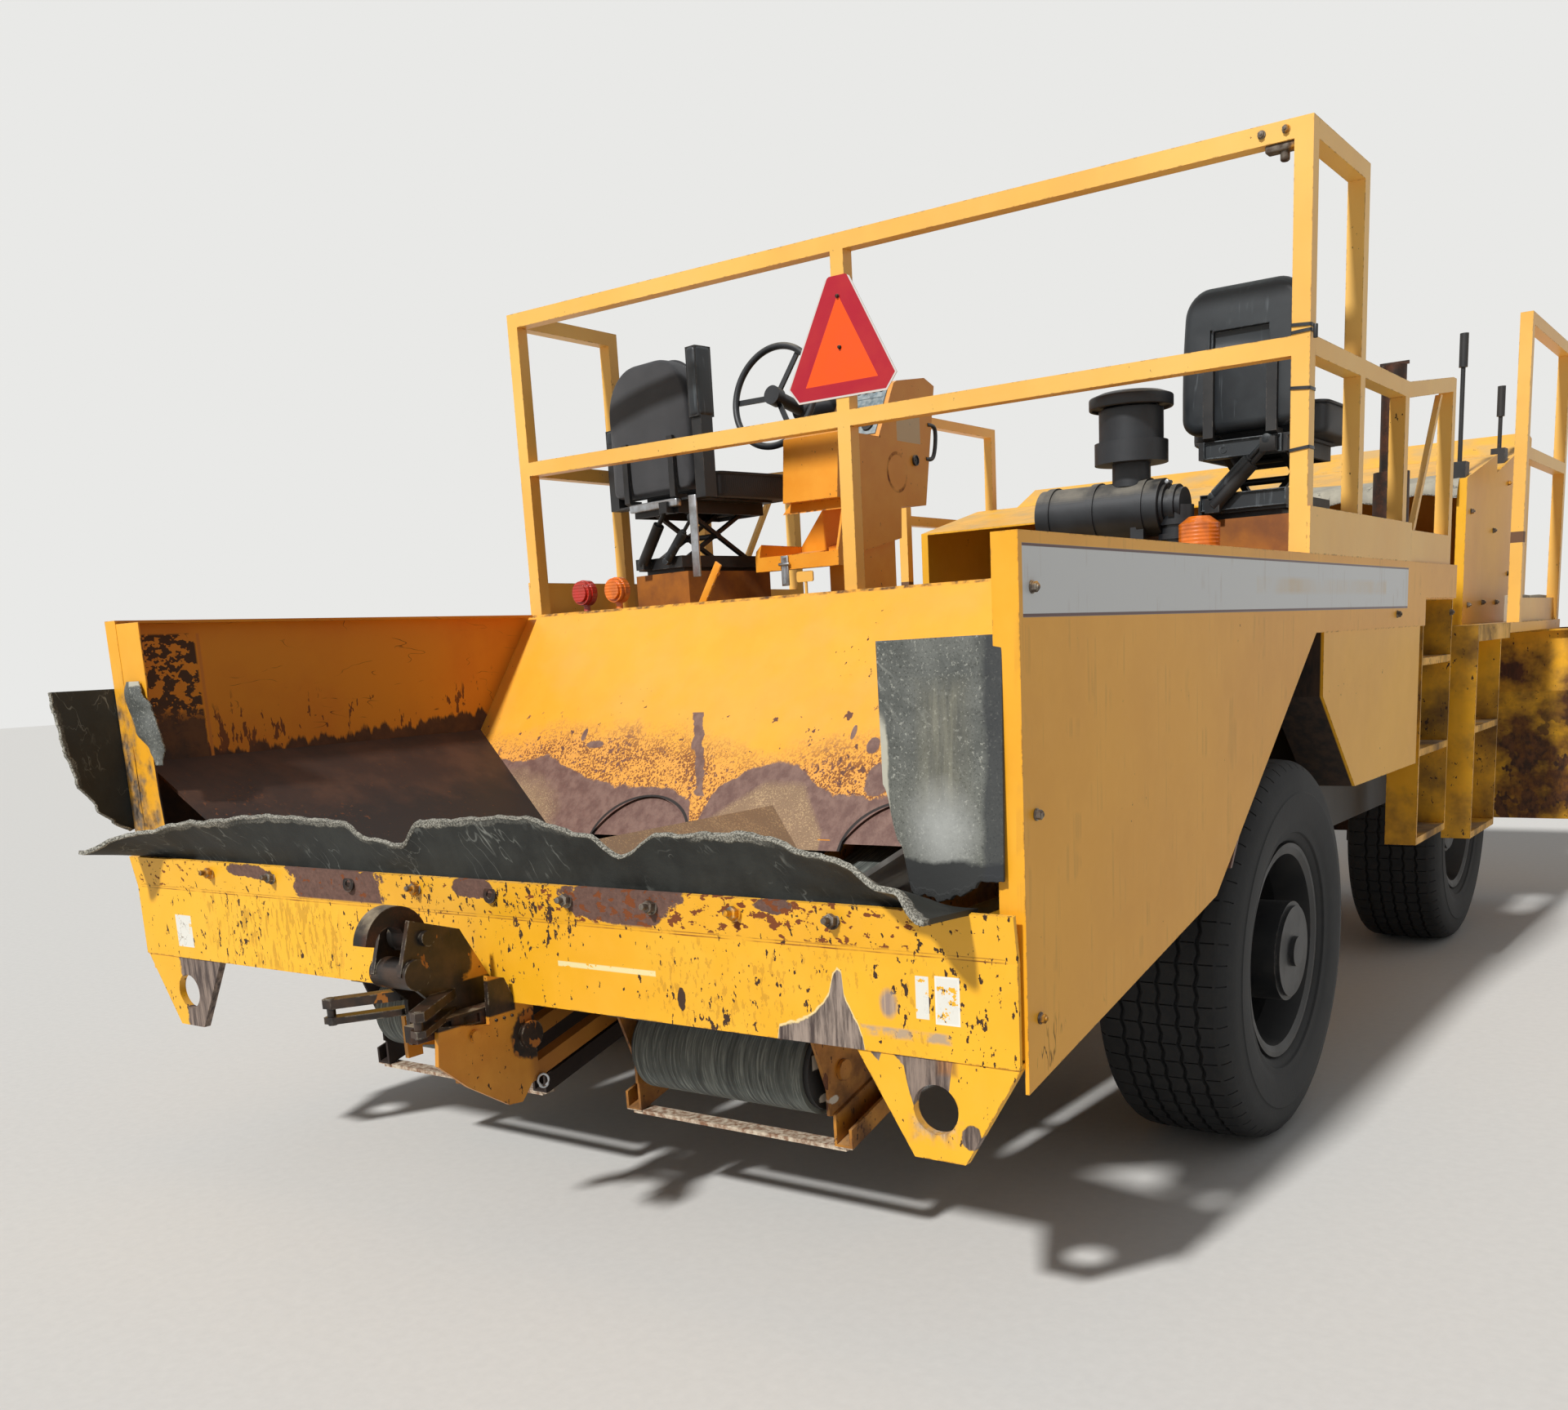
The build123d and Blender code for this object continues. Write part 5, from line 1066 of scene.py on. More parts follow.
def pick(piece, kind, test):
    """In edit mode, selects the verts, edges or faces whose middle and direction pass a test."""
    bpy.ops.mesh.select_mode(type={"verts": "VERT", "edges": "EDGE", "faces": "FACE"}[kind])
    bpy.ops.mesh.select_all(action="DESELECT")
    mesh = bmesh.from_edit_mesh(piece.data)
    for element in getattr(mesh, kind):
        if kind == "verts":
            middle, way = element.co, element.normal
        elif kind == "edges":
            ends = [vert.co for vert in element.verts]
            middle, way = (ends[0] + ends[1]) / 2, (ends[1] - ends[0]).normalized()
        else:
            middle, way = element.calc_center_median(), element.normal
        if test(middle, way):
            element.select_set(True)
    mesh.select_flush_mode()
    bmesh.update_edit_mesh(piece.data)


def cut(piece, at, way):
    """Cuts new edges round a whole piece on a plane."""
    edit(piece)
    bpy.ops.mesh.select_all(action="SELECT")
    bpy.ops.mesh.bisect(plane_co=at, plane_no=way)
    leave()


def bevel_edges(piece, test, offset, segments=3):
    edit(piece)
    pick(piece, "edges", test)
    bpy.ops.mesh.bevel(offset=offset, segments=segments, affect="EDGES")
    leave()


def bevel_rims(piece, axis, offset, segments):
    """Bevels the edges that run across an axis."""
    bevel_edges(piece, lambda middle, way: abs(getattr(way, axis)) < 0.5, offset, segments)


def sink(rim, move):
    """Insets the picked faces by a rim and moves what lies inside it."""
    bpy.ops.mesh.inset(thickness=rim)
    bpy.ops.mesh.extrude_region_move(TRANSFORM_OT_translate={"value": move})


def press(piece, test, *steps):
    """Sinks the faces that pass a test, once for each step given as (rim, move)."""
    edit(piece)
    pick(piece, "faces", test)
    for rim, move in steps:
        sink(rim, move)
    leave()


def modify(piece, kind, **settings):
    """Adds a modifier, sets it and applies it."""
    by_itself(piece)
    modifier = piece.modifiers.new(kind.lower(), kind)
    for key, value in settings.items():
        setattr(modifier, key, value)
    bpy.ops.object.modifier_apply(modifier=modifier.name)


def soften(piece, width, segments, angle):
    """Rounds the edges whose faces turn by more than an angle in degrees."""
    modify(piece, "BEVEL", width=width, segments=segments, limit_method="ANGLE", angle_limit=radians(angle))


def joined(name, pieces):
    """Several meshes made one piece."""
    bpy.ops.object.select_all(action="DESELECT")
    for piece in pieces:
        piece.select_set(True)
    bpy.context.view_layer.objects.active = pieces[0]
    if len(pieces) > 1:
        bpy.ops.object.join()
    pieces[0].name = name
    return pieces[0]


def repeated(name, pattern, places):
    """Copies of a pattern, each with its own mesh, at (place, matrix that turns it), made one piece."""
    copies = []
    for place, turn in places:
        copy = pattern.copy()
        copy.data = pattern.data.copy()
        show(copy)
        copy.data.transform(Matrix.Translation(place) @ turn.to_4x4())
        copies.append(copy)
    bpy.data.objects.remove(pattern)
    return joined(name, copies)


def facing_turn(way):
    """The turn that points a pattern modelled along -Y in another direction."""
    return Vector((0, -1, 0)).rotation_difference(Vector(way)).to_matrix()


def welded_copy(name, node):
    """Copy of a CAD node's mesh, its doubled vertices merged."""
    piece = bpy.data.objects.new(name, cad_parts[node].data.copy())
    show(piece)
    edit(piece)
    bpy.ops.mesh.select_all(action="SELECT")
    bpy.ops.mesh.remove_doubles(threshold=0.0001)
    leave()
    return piece


def cut_away(piece, cutter):
    """Take the cutter's space out of a piece, and shade the piece flat."""
    modify(piece, "BOOLEAN", object=cutter, operation="DIFFERENCE", solver="EXACT")
    bpy.data.objects.remove(cutter)
    by_itself(piece)
    if piece.data.has_custom_normals:
        bpy.ops.mesh.customdata_custom_splitnormals_clear()
    bpy.ops.object.shade_flat()


def place(piece, finish, slot, body=CHASSIS, stands_for=(), smooth=35):
    """Gives a finished piece its material, shading and body. The slot is not used."""
    piece.data.materials.clear()
    piece.data.materials.append(FINISH[finish])
    by_itself(piece)
    if smooth:
        bpy.ops.object.shade_smooth_by_angle(angle=radians(smooth))
    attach(piece, body)
    if stands_for:
        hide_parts(*stands_for)
    bpy.ops.object.select_all(action="DESELECT")
    return piece


def turned(name, section, centre, steps):
    """A ring round the X axis, spun from a closed section given as (across, radius)."""
    corners = [Vector((centre[0] + across, centre[1], centre[2] + radius)) for across, radius in section]
    piece = start(bpy.ops.mesh.primitive_plane_add, name, size=0.01, location=corners[0])
    edit(piece)
    bpy.ops.mesh.select_all(action="SELECT")
    bpy.ops.mesh.merge(type="CENTER")
    for near, far in zip(corners, corners[1:] + corners[:1]):
        bpy.ops.mesh.extrude_vertices_move(TRANSFORM_OT_translate={"value": far - near})
    bpy.ops.mesh.select_all(action="SELECT")
    bpy.ops.mesh.spin(steps=steps, angle=2 * pi, center=centre, axis=(1, 0, 0))
    bpy.ops.mesh.select_all(action="SELECT")
    bpy.ops.mesh.remove_doubles(threshold=0.00005)
    bpy.ops.mesh.normals_make_consistent(inside=False)
    leave()
    return piece


# Tyres: worn road tread with five zigzag grooves and cross sipes
TREAD_STEPS = 120
TREAD_GROOVES = (-0.100, -0.050, 0.0, 0.050, 0.100)
GROOVE_HALF, GROOVE_DEEP, ZIGZAG = 0.0042, 0.011, 0.0075
TYRE_WALL = (
    (0.1465, 0.2860), (0.1465, 0.3000), (0.1560, 0.3040), (0.1640, 0.3120), (0.1700, 0.3260), (0.1760, 0.3290),
    (0.1780, 0.3340), (0.1770, 0.3400), (0.1830, 0.3560), (0.1875, 0.3760), (0.1900, 0.3980), (0.1922, 0.4180),
    (0.1925, 0.4360), (0.1905, 0.4380), (0.1895, 0.4420), (0.1880, 0.4660), (0.1820, 0.4860), (0.1735, 0.5020),
    (0.1640, 0.5130), (0.1540, 0.5200), (0.1440, 0.5240),
)


def tyre_section():
    """The whole section, from the inner bead over the tread to the outer bead."""
    section = [(-across, radius) for across, radius in TYRE_WALL]
    for groove in TREAD_GROOVES:
        crown = 0.530 - 0.25 * groove * groove
        section += [(groove - GROOVE_HALF - 0.0015, crown), (groove - GROOVE_HALF, crown - GROOVE_DEEP),
                    (groove + GROOVE_HALF, crown - GROOVE_DEEP), (groove + GROOVE_HALF + 0.0015, crown)]
    return section + [(across, radius) for across, radius in reversed(TYRE_WALL)]


def make_tyre():
    """One tyre about the origin, its axle along X."""
    tyre = turned("tyre_pattern", tyre_section(), (0, 0, 0), TREAD_STEPS)

    def step(middle):
        return round(atan2(middle.z, middle.y) * TREAD_STEPS / (2 * pi))

    edit(tyre)
    pick(tyre, "verts", lambda middle, way: step(middle) % 2 and abs(middle.x) < 0.107
         and hypot(middle.y, middle.z) > 0.512)
    bpy.ops.transform.translate(value=(ZIGZAG, 0, 0))
    # Sipes across the ribs: every other cross edge opened and sunk
    pick(tyre, "edges", lambda middle, way: abs(way.x) > 0.97 and step(middle) % 2 == 0
         and abs(middle.x) < 0.140 and hypot(middle.y, middle.z) > 0.522)
    bpy.ops.mesh.bevel(offset=0.0019, segments=1, affect="EDGES")
    bpy.ops.mesh.extrude_region_shrink_fatten(TRANSFORM_OT_shrink_fatten={"value": -0.006})
    # Notches down the shoulders
    pick(tyre, "edges", lambda middle, way: step(middle) % 2 == 0 and 0.150 < abs(middle.x) < 0.172
         and 0.505 < hypot(middle.y, middle.z) < 0.522 and abs(way.x) > 0.5)
    bpy.ops.mesh.bevel(offset=0.0019, segments=1, affect="EDGES")
    bpy.ops.mesh.extrude_region_shrink_fatten(TRANSFORM_OT_shrink_fatten={"value": -0.003})
    leave()
    return tyre


tyre = make_tyre()
for end, track, axle in (("rear", REAR_TRACK, REAR_AXLE), ("front", FRONT_TRACK, FRONT_AXLE)):
    for side, sign in SIDES:
        copy = tyre.copy()
        copy.data = tyre.data.copy()
        copy.name = f"road_tyre_{end}_{side}"
        show(copy)
        copy.data.transform(Matrix.Translation((sign * track, axle, HUB)) @ Matrix.Rotation(0.3 * sign, 4, "X"))
        place(copy, "tyre_rubber", "tyre", f"wheel_body_{end}_{side}", (f"tyre_{end}_{side}",), 40)
bpy.data.objects.remove(tyre)


# Bolts, modelled with their heads towards -Y
def make_nut(size, stud):
    """A hexagon nut on a round washer, with the end of its bolt standing out."""
    washer = rod("washer", (0, -0.0015, 0), size * 1.05, 0.003, "y", 20)
    bevel_edges(washer, lambda middle, way: middle.y < -0.002, 0.0008, 1)
    nut = rod("nut", (0, -0.003 - size * 0.4, 0), size * 0.86, size * 0.8, "y", 6)
    bevel_edges(nut, lambda middle, way: middle.y < -0.003 - size * 0.6, size * 0.12, 2)
    thread = rod("thread", (0, -0.003 - stud / 2, 0), size * 0.42, stud, "y", 12)
    bevel_edges(thread, lambda middle, way: middle.y < -stud * 0.9, size * 0.1, 2)
    return joined("nut_pattern", [washer, nut, thread])


def make_ring(outer, inner, thick):
    """A flat washer round an empty hole."""
    ring = rod("ring_pattern", (0, -thick / 2, 0), outer, thick, "y", 24)
    press(ring, lambda middle, way: way.y < -0.9, (outer - inner, (0, thick * 0.8, 0)))
    return ring


STRIP_LEAN = facing_turn((0, -0.988, 0.154))
STRIP_BOLTS = (-1.046, -0.765, -0.183, 0.325, 0.575, 0.801, 1.044)      # along the beam, from the left
STRIP_HOLES = (-0.440, 0.078)
STRIP_Z = 0.893
strip_y = BEAM_FACE - 0.0093
nuts = repeated("beam_bolts", make_nut(0.017, 0.030), [((x, strip_y, STRIP_Z), STRIP_LEAN) for x in STRIP_BOLTS])
place(nuts, "bolt_steel", "worn_steel")
rings = repeated("beam_hole_rings", make_ring(0.021, 0.010, 0.004),
                 [((x, strip_y, STRIP_Z), STRIP_LEAN) for x in STRIP_HOLES])
place(rings, "dark_steel", "dark_steel")

# Bolts on both sides: name, distance from the middle, nut, stud, and each one's place as (from the tail, height)
SIDE_BOLTS = (
    ("panel_bolts", PANEL_FACE, 0.011, 0.012, ((0.05, 1.50), (0.05, 1.10), (0.05, 0.72), (2.62, 1.43), (3.38, 1.43))),
    ("hood_bolts", HOOD_SIDE, 0.011, 0.014, ((4.42, 1.46), (4.42, 1.84), (4.72, 1.47), (5.02, 1.47), (4.90, 1.78),
                                             (5.28, 1.60), (5.45, 1.96), (5.60, 1.74), (5.20, 2.00))),
    ("hopper_bolts", HOPPER_END, 0.013, 0.018, ((5.22, 1.24), (5.22, 1.02), (5.45, 0.62), (5.66, 1.24),
                                                (5.70, 0.90))),
)
for name, face, size, stud, places in SIDE_BOLTS:
    spots = [((sign * face, TAIL + y, z), facing_turn((sign, 0, 0))) for side, sign in SIDES for y, z in places]
    place(repeated(name, make_nut(size, stud), spots), "bolt_steel", "worn_steel")


# Rubber flaps. Each is a sheet whose v runs to its torn edge, so that its finish finds that edge
def rubber_sheet(name, columns, rows, point, thick, side):
    """A sheet through point(u, v), with u and v from 0 to 1, given its thickness on one side."""
    sheet = start(bpy.ops.mesh.primitive_grid_add, name, x_subdivisions=columns, y_subdivisions=rows, size=1.0)
    mesh = bmesh.new()
    mesh.from_mesh(sheet.data)
    for vert in mesh.verts:
        vert.co = point(vert.co.x + 0.5, vert.co.y + 0.5)
    bmesh.ops.recalc_face_normals(mesh, faces=mesh.faces)
    mesh.to_mesh(sheet.data)
    mesh.free()
    modify(sheet, "SOLIDIFY", thickness=thick, offset=side, use_even_offset=True)
    edit(sheet)
    bpy.ops.mesh.select_all(action="SELECT")
    bpy.ops.mesh.normals_make_consistent(inside=False)
    leave()
    soften(sheet, thick * 0.22, 2, 50)
    return sheet


def between(table, at):
    """The other columns of a table, taken smoothly between its rows at a value of the first."""
    for near, far in zip(table, table[1:]):
        if at <= far[0] or far is table[-1]:
            part = min(max((at - near[0]) / (far[0] - near[0]), 0.0), 1.0)
            part = part * part * (3 - 2 * part)
            return [a + (b - a) * part for a, b in zip(near[1:], far[1:])]


def tear(at, size):
    """A small uneven step for a torn edge, the same in every run."""
    return size * (0.5 * sin(at * 61.0) + 0.3 * sin(at * 143.0 + 1.3) + 0.35 * sin(at * 377.0 + 0.4) * sin(at * 29.0))


# Columns: distance from the middle, lean behind the beam, height of the edge
FLAP_EDGE = (
    (-1.395, 0.203, 0.968), (-1.250, 0.125, 1.015), (-1.000, 0.085, 1.048), (-0.700, 0.060, 1.068),
    (-0.420, 0.045, 1.058), (-0.345, 0.034, 1.018), (-0.210, 0.032, 1.006), (-0.130, 0.035, 1.066),
    (0.200, 0.035, 1.080), (0.410, 0.040, 1.050), (0.520, 0.036, 1.006), (0.620, 0.045, 1.056),
    (0.860, 0.055, 1.065), (1.080, 0.080, 1.030), (1.250, 0.130, 0.985), (1.350, 0.192, 0.942),
)
FLAP_FOOT, FLAP_BEND = 0.850, 0.930
flap_y = TAIL - 0.0095


def flap_point(u, v):
    """Straight up behind the beam's strip, then curling out over it to an uneven edge."""
    x = FLAP_EDGE[0][0] + u * (FLAP_EDGE[-1][0] - FLAP_EDGE[0][0])
    lean, top = between(FLAP_EDGE, x)
    top += tear(x, 0.0035)
    wave = 0.006 * sin(x * 9.0)
    if v < 0.3:
        return Vector((x, flap_y + 0.011, FLAP_FOOT + (FLAP_BEND - FLAP_FOOT) * v / 0.3))
    part = (v - 0.3) / 0.7
    curl = part ** 1.35
    return Vector((x, flap_y + 0.011 - (lean + flap_y - TAIL + 0.011) * curl + wave * part,
                   FLAP_BEND + (top - FLAP_BEND) * part))


place(rubber_sheet("rear_flap_sheet", 180, 16, flap_point, 0.011, 1.0), "flap_rubber", "flap_rubber", CHASSIS,
      ("rear_flap",), 50)

# The left corner's ear: outer edge as (height, distance behind the panel)
EAR_EDGE = ((1.000, 0.004), (1.030, 0.055), (1.074, 0.099), (1.149, 0.148), (1.243, 0.173), (1.335, 0.181),
            (1.407, 0.184))


def ear_point(u, v):
    z = EAR_EDGE[0][0] + u * (EAR_EDGE[-1][0] - EAR_EDGE[0][0])
    (reach,) = between(EAR_EDGE, z)
    reach += tear(z, 0.004)
    bow = 0.010 * sin(pi * v) + 0.008 * v * sin(z * 14.0)
    return Vector((-PANEL_FACE - 0.001 - bow, TAIL + 0.030 - (reach + 0.030) * v, z))


def right_flap_point(u, v):
    """Hangs from its top edge across the right corner, its lower edge frayed and cut at a slant."""
    inside = 0.036 + u * 0.262
    low = between(((0.036, 0.990), (0.054, 0.985), (0.158, 0.945), (0.233, 0.950), (0.262, 1.040), (0.298, 1.160)),
                  inside)[0]
    low += tear(inside * 1.7, 0.007)
    z = 1.422 + (low - 1.422) * v
    bow = 0.016 * v * sin(inside * 16.0) + 0.010 * v
    return Vector((PANEL_FACE - inside, TAIL + 0.012 - bow, z))


ear = rubber_sheet("left_ear", 60, 16, ear_point, 0.011, 1.0)
right_flap = rubber_sheet("right_corner_flap", 44, 60, right_flap_point, 0.011, 1.0)
place(right_flap, "chalky_rubber", "flap_rubber", CHASSIS, (), 50)
place(ear, "flap_rubber", "flap_rubber", CHASSIS, ("corner_flaps",), 50)


# Seats. Columns: side, turning point x, turned by, pan height, back half width, its corner, its top, cushion half width
SEATS = (
    ("left", -1.050, -10.0, 1.990, 0.243, 0.180, 2.499, 0.235),
    ("right", 1.150, 0.0, 1.950, 0.182, 0.074, 2.370, 0.215),
)
SEAT_TURN_Y, SEAT_REAR = TAIL + 2.230, -0.230
BACK_THICK, CUSHION_LONG, CUSHION_THICK = 0.105, 0.455, 0.110
PAD_VOXEL, PAD_PRESSURE, PAD_FRAMES = 0.007, 4.0, 20


def to_seat(piece, x, turned_by):
    """Moves a piece modelled about a seat's turning point to its place."""
    piece.data.transform(Matrix.Translation((x, SEAT_TURN_Y, 0)) @ Matrix.Rotation(radians(turned_by), 4, "Z"))


def stuff(piece, seam, cap):
    """Blows a closed shape up as sewn cloth: seam(place) is true where the stitching holds it."""
    modify(piece, "REMESH", mode="VOXEL", voxel_size=PAD_VOXEL)
    rest = [vert.co.copy() for vert in piece.data.vertices]
    held = piece.vertex_groups.new(name="held")
    held.add([number for number, spot in enumerate(rest) if seam(spot)], 1.0, "REPLACE")
    by_itself(piece)
    cloth = piece.modifiers.new("cloth", "CLOTH")
    cloth.settings.vertex_group_mass = "held"
    cloth.settings.use_pressure = True
    cloth.settings.uniform_pressure_force = PAD_PRESSURE
    cloth.settings.effector_weights.gravity = 0.0
    cloth.settings.quality = 4
    cloth.collision_settings.use_collision = False
    cloth.collision_settings.use_self_collision = False
    for number in range(1, PAD_FRAMES + 1):
        bpy.context.scene.frame_set(number)
    bpy.ops.object.modifier_apply(modifier="cloth")
    bpy.context.scene.frame_set(1)
    for vert, spot in zip(piece.data.vertices, rest):
        moved = vert.co - spot
        if moved.length > cap:
            vert.co = spot + moved * (cap / moved.length)
    piece.vertex_groups.clear()
    modify(piece, "SUBSURF", levels=1, render_levels=1)


def piping(name, outline, thick, closed=True):
    """A welt or a bent bar along a line of points."""
    curve = bpy.data.curves.new(name, "CURVE")
    curve.dimensions = "3D"
    line = curve.splines.new("NURBS")
    line.points.add(len(outline) - 1)
    for point, spot in zip(line.points, outline):
        point.co = (*spot, 1.0)
    line.use_cyclic_u = closed
    line.use_endpoint_u = not closed
    line.order_u = 3
    curve.use_fill_caps = not closed
    curve.bevel_depth = thick
    curve.bevel_resolution = 2
    welt = bpy.data.objects.new(name, curve)
    show(welt)
    by_itself(welt)
    bpy.ops.object.convert(target="MESH")
    return bpy.context.object


def rounded(half, low, high, corner, top_only=False, steps=6):
    """An upright rounded outline as (across, height)."""
    corners = ((half - corner, high - corner, 0), (-half + corner, high - corner, 90))
    foot = 0.030 if top_only else corner
    corners += ((-half + foot, low + foot, 180), (half - foot, low + foot, 270))
    outline = []
    for across, up, first in corners:
        radius = corner if first < 180 else foot
        for number in range(steps + 1):
            turn = radians(first + 90 * number / steps)
            outline.append((across + radius * cos(turn), up + radius * sin(turn)))
    return outline


def make_back(side, half, corner, low, high):
    """The back's pad: a rounded slab with a welt round its front and its rear face."""
    cap = 0.012
    near, far = SEAT_REAR + cap, SEAT_REAR + BACK_THICK - cap
    if side == "right":
        near = SEAT_REAR + 0.048
    pad = box_between(f"seat_back_{side}", (-half + cap, near, low + cap), (half - cap, far, high - cap))
    bevel_edges(pad, lambda middle, way: abs(way.y) > 0.9 and middle.z > (low + high) / 2, corner - cap, 10)
    bevel_edges(pad, lambda middle, way: abs(way.y) > 0.9 and middle.z < low + 0.05, 0.030, 5)
    bevel_edges(pad, lambda middle, way: abs(way.y) < 0.5 and (middle.y < near + 0.001 or middle.y > far - 0.001),
                0.012, 2)
    outline = rounded(half - cap - 0.004, low + cap + 0.004, high - cap - 0.004, corner - cap, True)

    def seam(spot):
        if min(abs(spot.y - near - 0.006), abs(spot.y - far + 0.006)) > 0.008:
            return False
        return min(hypot(spot.x - x, spot.z - z) for x, z in outline) < 0.014 or abs(spot.x) > half - cap - 0.006

    stuff(pad, seam, cap)
    line = rounded(half - cap + 0.001, low + cap - 0.001, high - cap + 0.001, corner - cap, True, 10)
    welt = piping("welt", [(x, far - 0.005, z) for x, z in line], 0.0045)
    return joined(f"seat_back_{side}", [pad, welt])


def make_cushion(side, half, pan):
    """The cushion: crowned on top, with a welt round its upper edge."""
    cap = 0.014
    back, front = SEAT_REAR + BACK_THICK + 0.008 + cap, SEAT_REAR + BACK_THICK + 0.008 + CUSHION_LONG - cap
    low, high = pan + 0.003, pan + CUSHION_THICK - cap
    pad = box_between(f"seat_cushion_{side}", (-half + cap, back, low), (half - cap, front, high))
    bevel_edges(pad, lambda middle, way: abs(way.z) > 0.9, 0.050, 6)
    bevel_rims(pad, "z", 0.012, 2)

    def seam(spot):
        edge = min(half - cap - abs(spot.x), spot.y - back, front - spot.y)
        return spot.z < low + 0.010 or (edge < 0.014 and abs(spot.z - high + 0.006) < 0.008)

    stuff(pad, seam, cap)
    middle = (back + front) / 2
    line = [(x, middle + y) for x, y in rounded(half - cap + 0.001, back - middle, front - middle, 0.050)]
    welt = piping("welt", [(x, y, high - 0.006) for x, y in line], 0.0045)
    return joined(f"seat_cushion_{side}", [pad, welt])


def narrowed(piece, low, high):
    """Draws a seat back's sides in towards its top."""
    for vert in piece.data.vertices:
        part = max(0.0, (vert.co.z - low) / (high - low) - 0.30) / 0.70
        vert.co.x *= 1 - 0.085 * part ** 1.8


def make_back_shell(half, low, high):
    """The right seat's moulded rear shell, rounded all over, with its grip recess and the groove down from it."""
    near, far = SEAT_REAR, SEAT_REAR + 0.045
    shell = box_between("seat_shell_right", (-half, near, low), (half, far, high))
    bevel_edges(shell, lambda middle, way: abs(way.y) > 0.9 and middle.z > (low + high) / 2, 0.074, 9)
    bevel_edges(shell, lambda middle, way: abs(way.y) > 0.9 and middle.z < low + 0.002, 0.050, 7)
    bevel_edges(shell, lambda middle, way: abs(way.y) < 0.5 and middle.y < near + 0.001, 0.030, 6)
    recess_left, recess_right, recess_low, recess_high = -0.088, 0.085, high - 0.175, high - 0.118
    for x in (recess_left - 0.006, recess_left, recess_right):
        cut(shell, (x, 0, 0), (1, 0, 0))
    for z in (low + 0.12, low + 0.18, recess_low, high - 0.150, recess_high, high - 0.085):
        cut(shell, (0, 0, z), (0, 0, 1))
    edit(shell)
    pick(shell, "faces", lambda middle, way: way.y < -0.9 and recess_left < middle.x < recess_right
         and recess_low < middle.z < recess_high)
    sink(0.004, (0, 0.018, 0))
    pick(shell, "faces", lambda middle, way: way.y < -0.9 and recess_left - 0.006 < middle.x < recess_left
         and middle.z < recess_high)
    bpy.ops.mesh.extrude_region_move(TRANSFORM_OT_translate={"value": (0, 0.009, 0)})
    leave()
    soften(shell, 0.004, 2, 50)
    narrowed(shell, low, high)
    return shell


for side, seat_x, turned_by, pan, back_half, corner, seat_top, cushion_half in SEATS:
    back_low = pan + 0.020
    cloth = "seat_cover" if side == "left" else "seat_vinyl"
    back = make_back(side, back_half, corner, back_low, seat_top)
    if side == "left":
        back.data.transform(Matrix.Translation((-0.018, 0, 0)))
    else:
        narrowed(back, back_low, seat_top)
    cushion = make_cushion(side, cushion_half, pan)
    for pad, stands_for in ((back, (f"seat_pads_{side}",)), (cushion, ())):
        to_seat(pad, seat_x, turned_by)
        place(pad, cloth, "seat_cloth", CHASSIS, stands_for, 60)
    if side == "right":
        shell = make_back_shell(back_half, back_low, seat_top)
        to_seat(shell, seat_x, turned_by)
        place(shell, "shell_plastic", "black_plastic")

# The left seat's armrests, rounded over their steel cores, and the chrome strip under its back
ARMRESTS = (
    ("armrest_raised", (0.226, SEAT_REAR + 0.006, 2.256), (0.285, SEAT_REAR + 0.089, 2.503)),
    ("armrest_lowered", (-0.285, SEAT_REAR + 0.016, 2.221), (-0.226, SEAT_REAR + 0.364, 2.284)),
)
for name, low, high in ARMRESTS:
    arm = box_between(name, low, high)
    cut(arm, [(a + b) / 2 for a, b in zip(low, high)], (0, 1, 0))
    soften(arm, 0.020, 5, 40)
    to_seat(arm, SEATS[0][1], SEATS[0][2])
    place(arm, "shell_plastic", "black_plastic")
strip = box_between("seat_trim_strip", (-0.130, SEAT_REAR - 0.012, 1.960), (0.150, SEAT_REAR + 0.016, 1.990))
modify(strip, "BEVEL", width=0.006, segments=3)
to_seat(strip, SEATS[0][1], SEATS[0][2])
place(strip, "bright_steel", "black_steel")

# Spring damper and rear channels of each seat. Columns: seat, damper's foot, damper's head, channels as (low, high)
SEAT_BACK_Y = -0.712
SEAT_GEAR = (
    ("left", (-1.025, SEAT_BACK_Y, 1.770), (-0.893, SEAT_BACK_Y, 1.916), ()),
    ("right", (1.075, SEAT_BACK_Y, 1.791), (1.231, SEAT_BACK_Y, 1.935),
     (((1.030, -0.700, 1.752), (1.282, -0.664, 1.800)), ((1.040, -0.700, 1.898), (1.268, -0.664, 1.948)))),
)


def make_damper(name, foot, head):
    """A damper between two points: body, bright rod and an eye at each end."""
    foot, head = Vector(foot), Vector(head)
    long = (head - foot).length
    body = rod("body", (0, 0, long * 0.34), 0.017, long * 0.62, "z", 24)
    bevel_rims(body, "z", 0.003, 2)
    collar = rod("collar", (0, 0, long * 0.66), 0.012, 0.012, "z", 20)
    bevel_rims(collar, "z", 0.002, 2)
    shaft = rod("shaft", (0, 0, long * 0.80), 0.007, long * 0.34, "z", 16)
    bevel_rims(shaft, "z", 0.001, 1)
    eyes = []
    for z in (0, long):
        eye = rod("eye", (0, 0, z), 0.014, 0.024, "y", 20)
        bevel_rims(eye, "y", 0.002, 2)
        eyes.append(eye)
    damper = joined(name, [body, collar, shaft] + eyes)
    turn = Vector((0, 0, 1)).rotation_difference(head - foot).to_matrix().to_4x4()
    damper.data.transform(Matrix.Translation(foot) @ turn)
    return damper


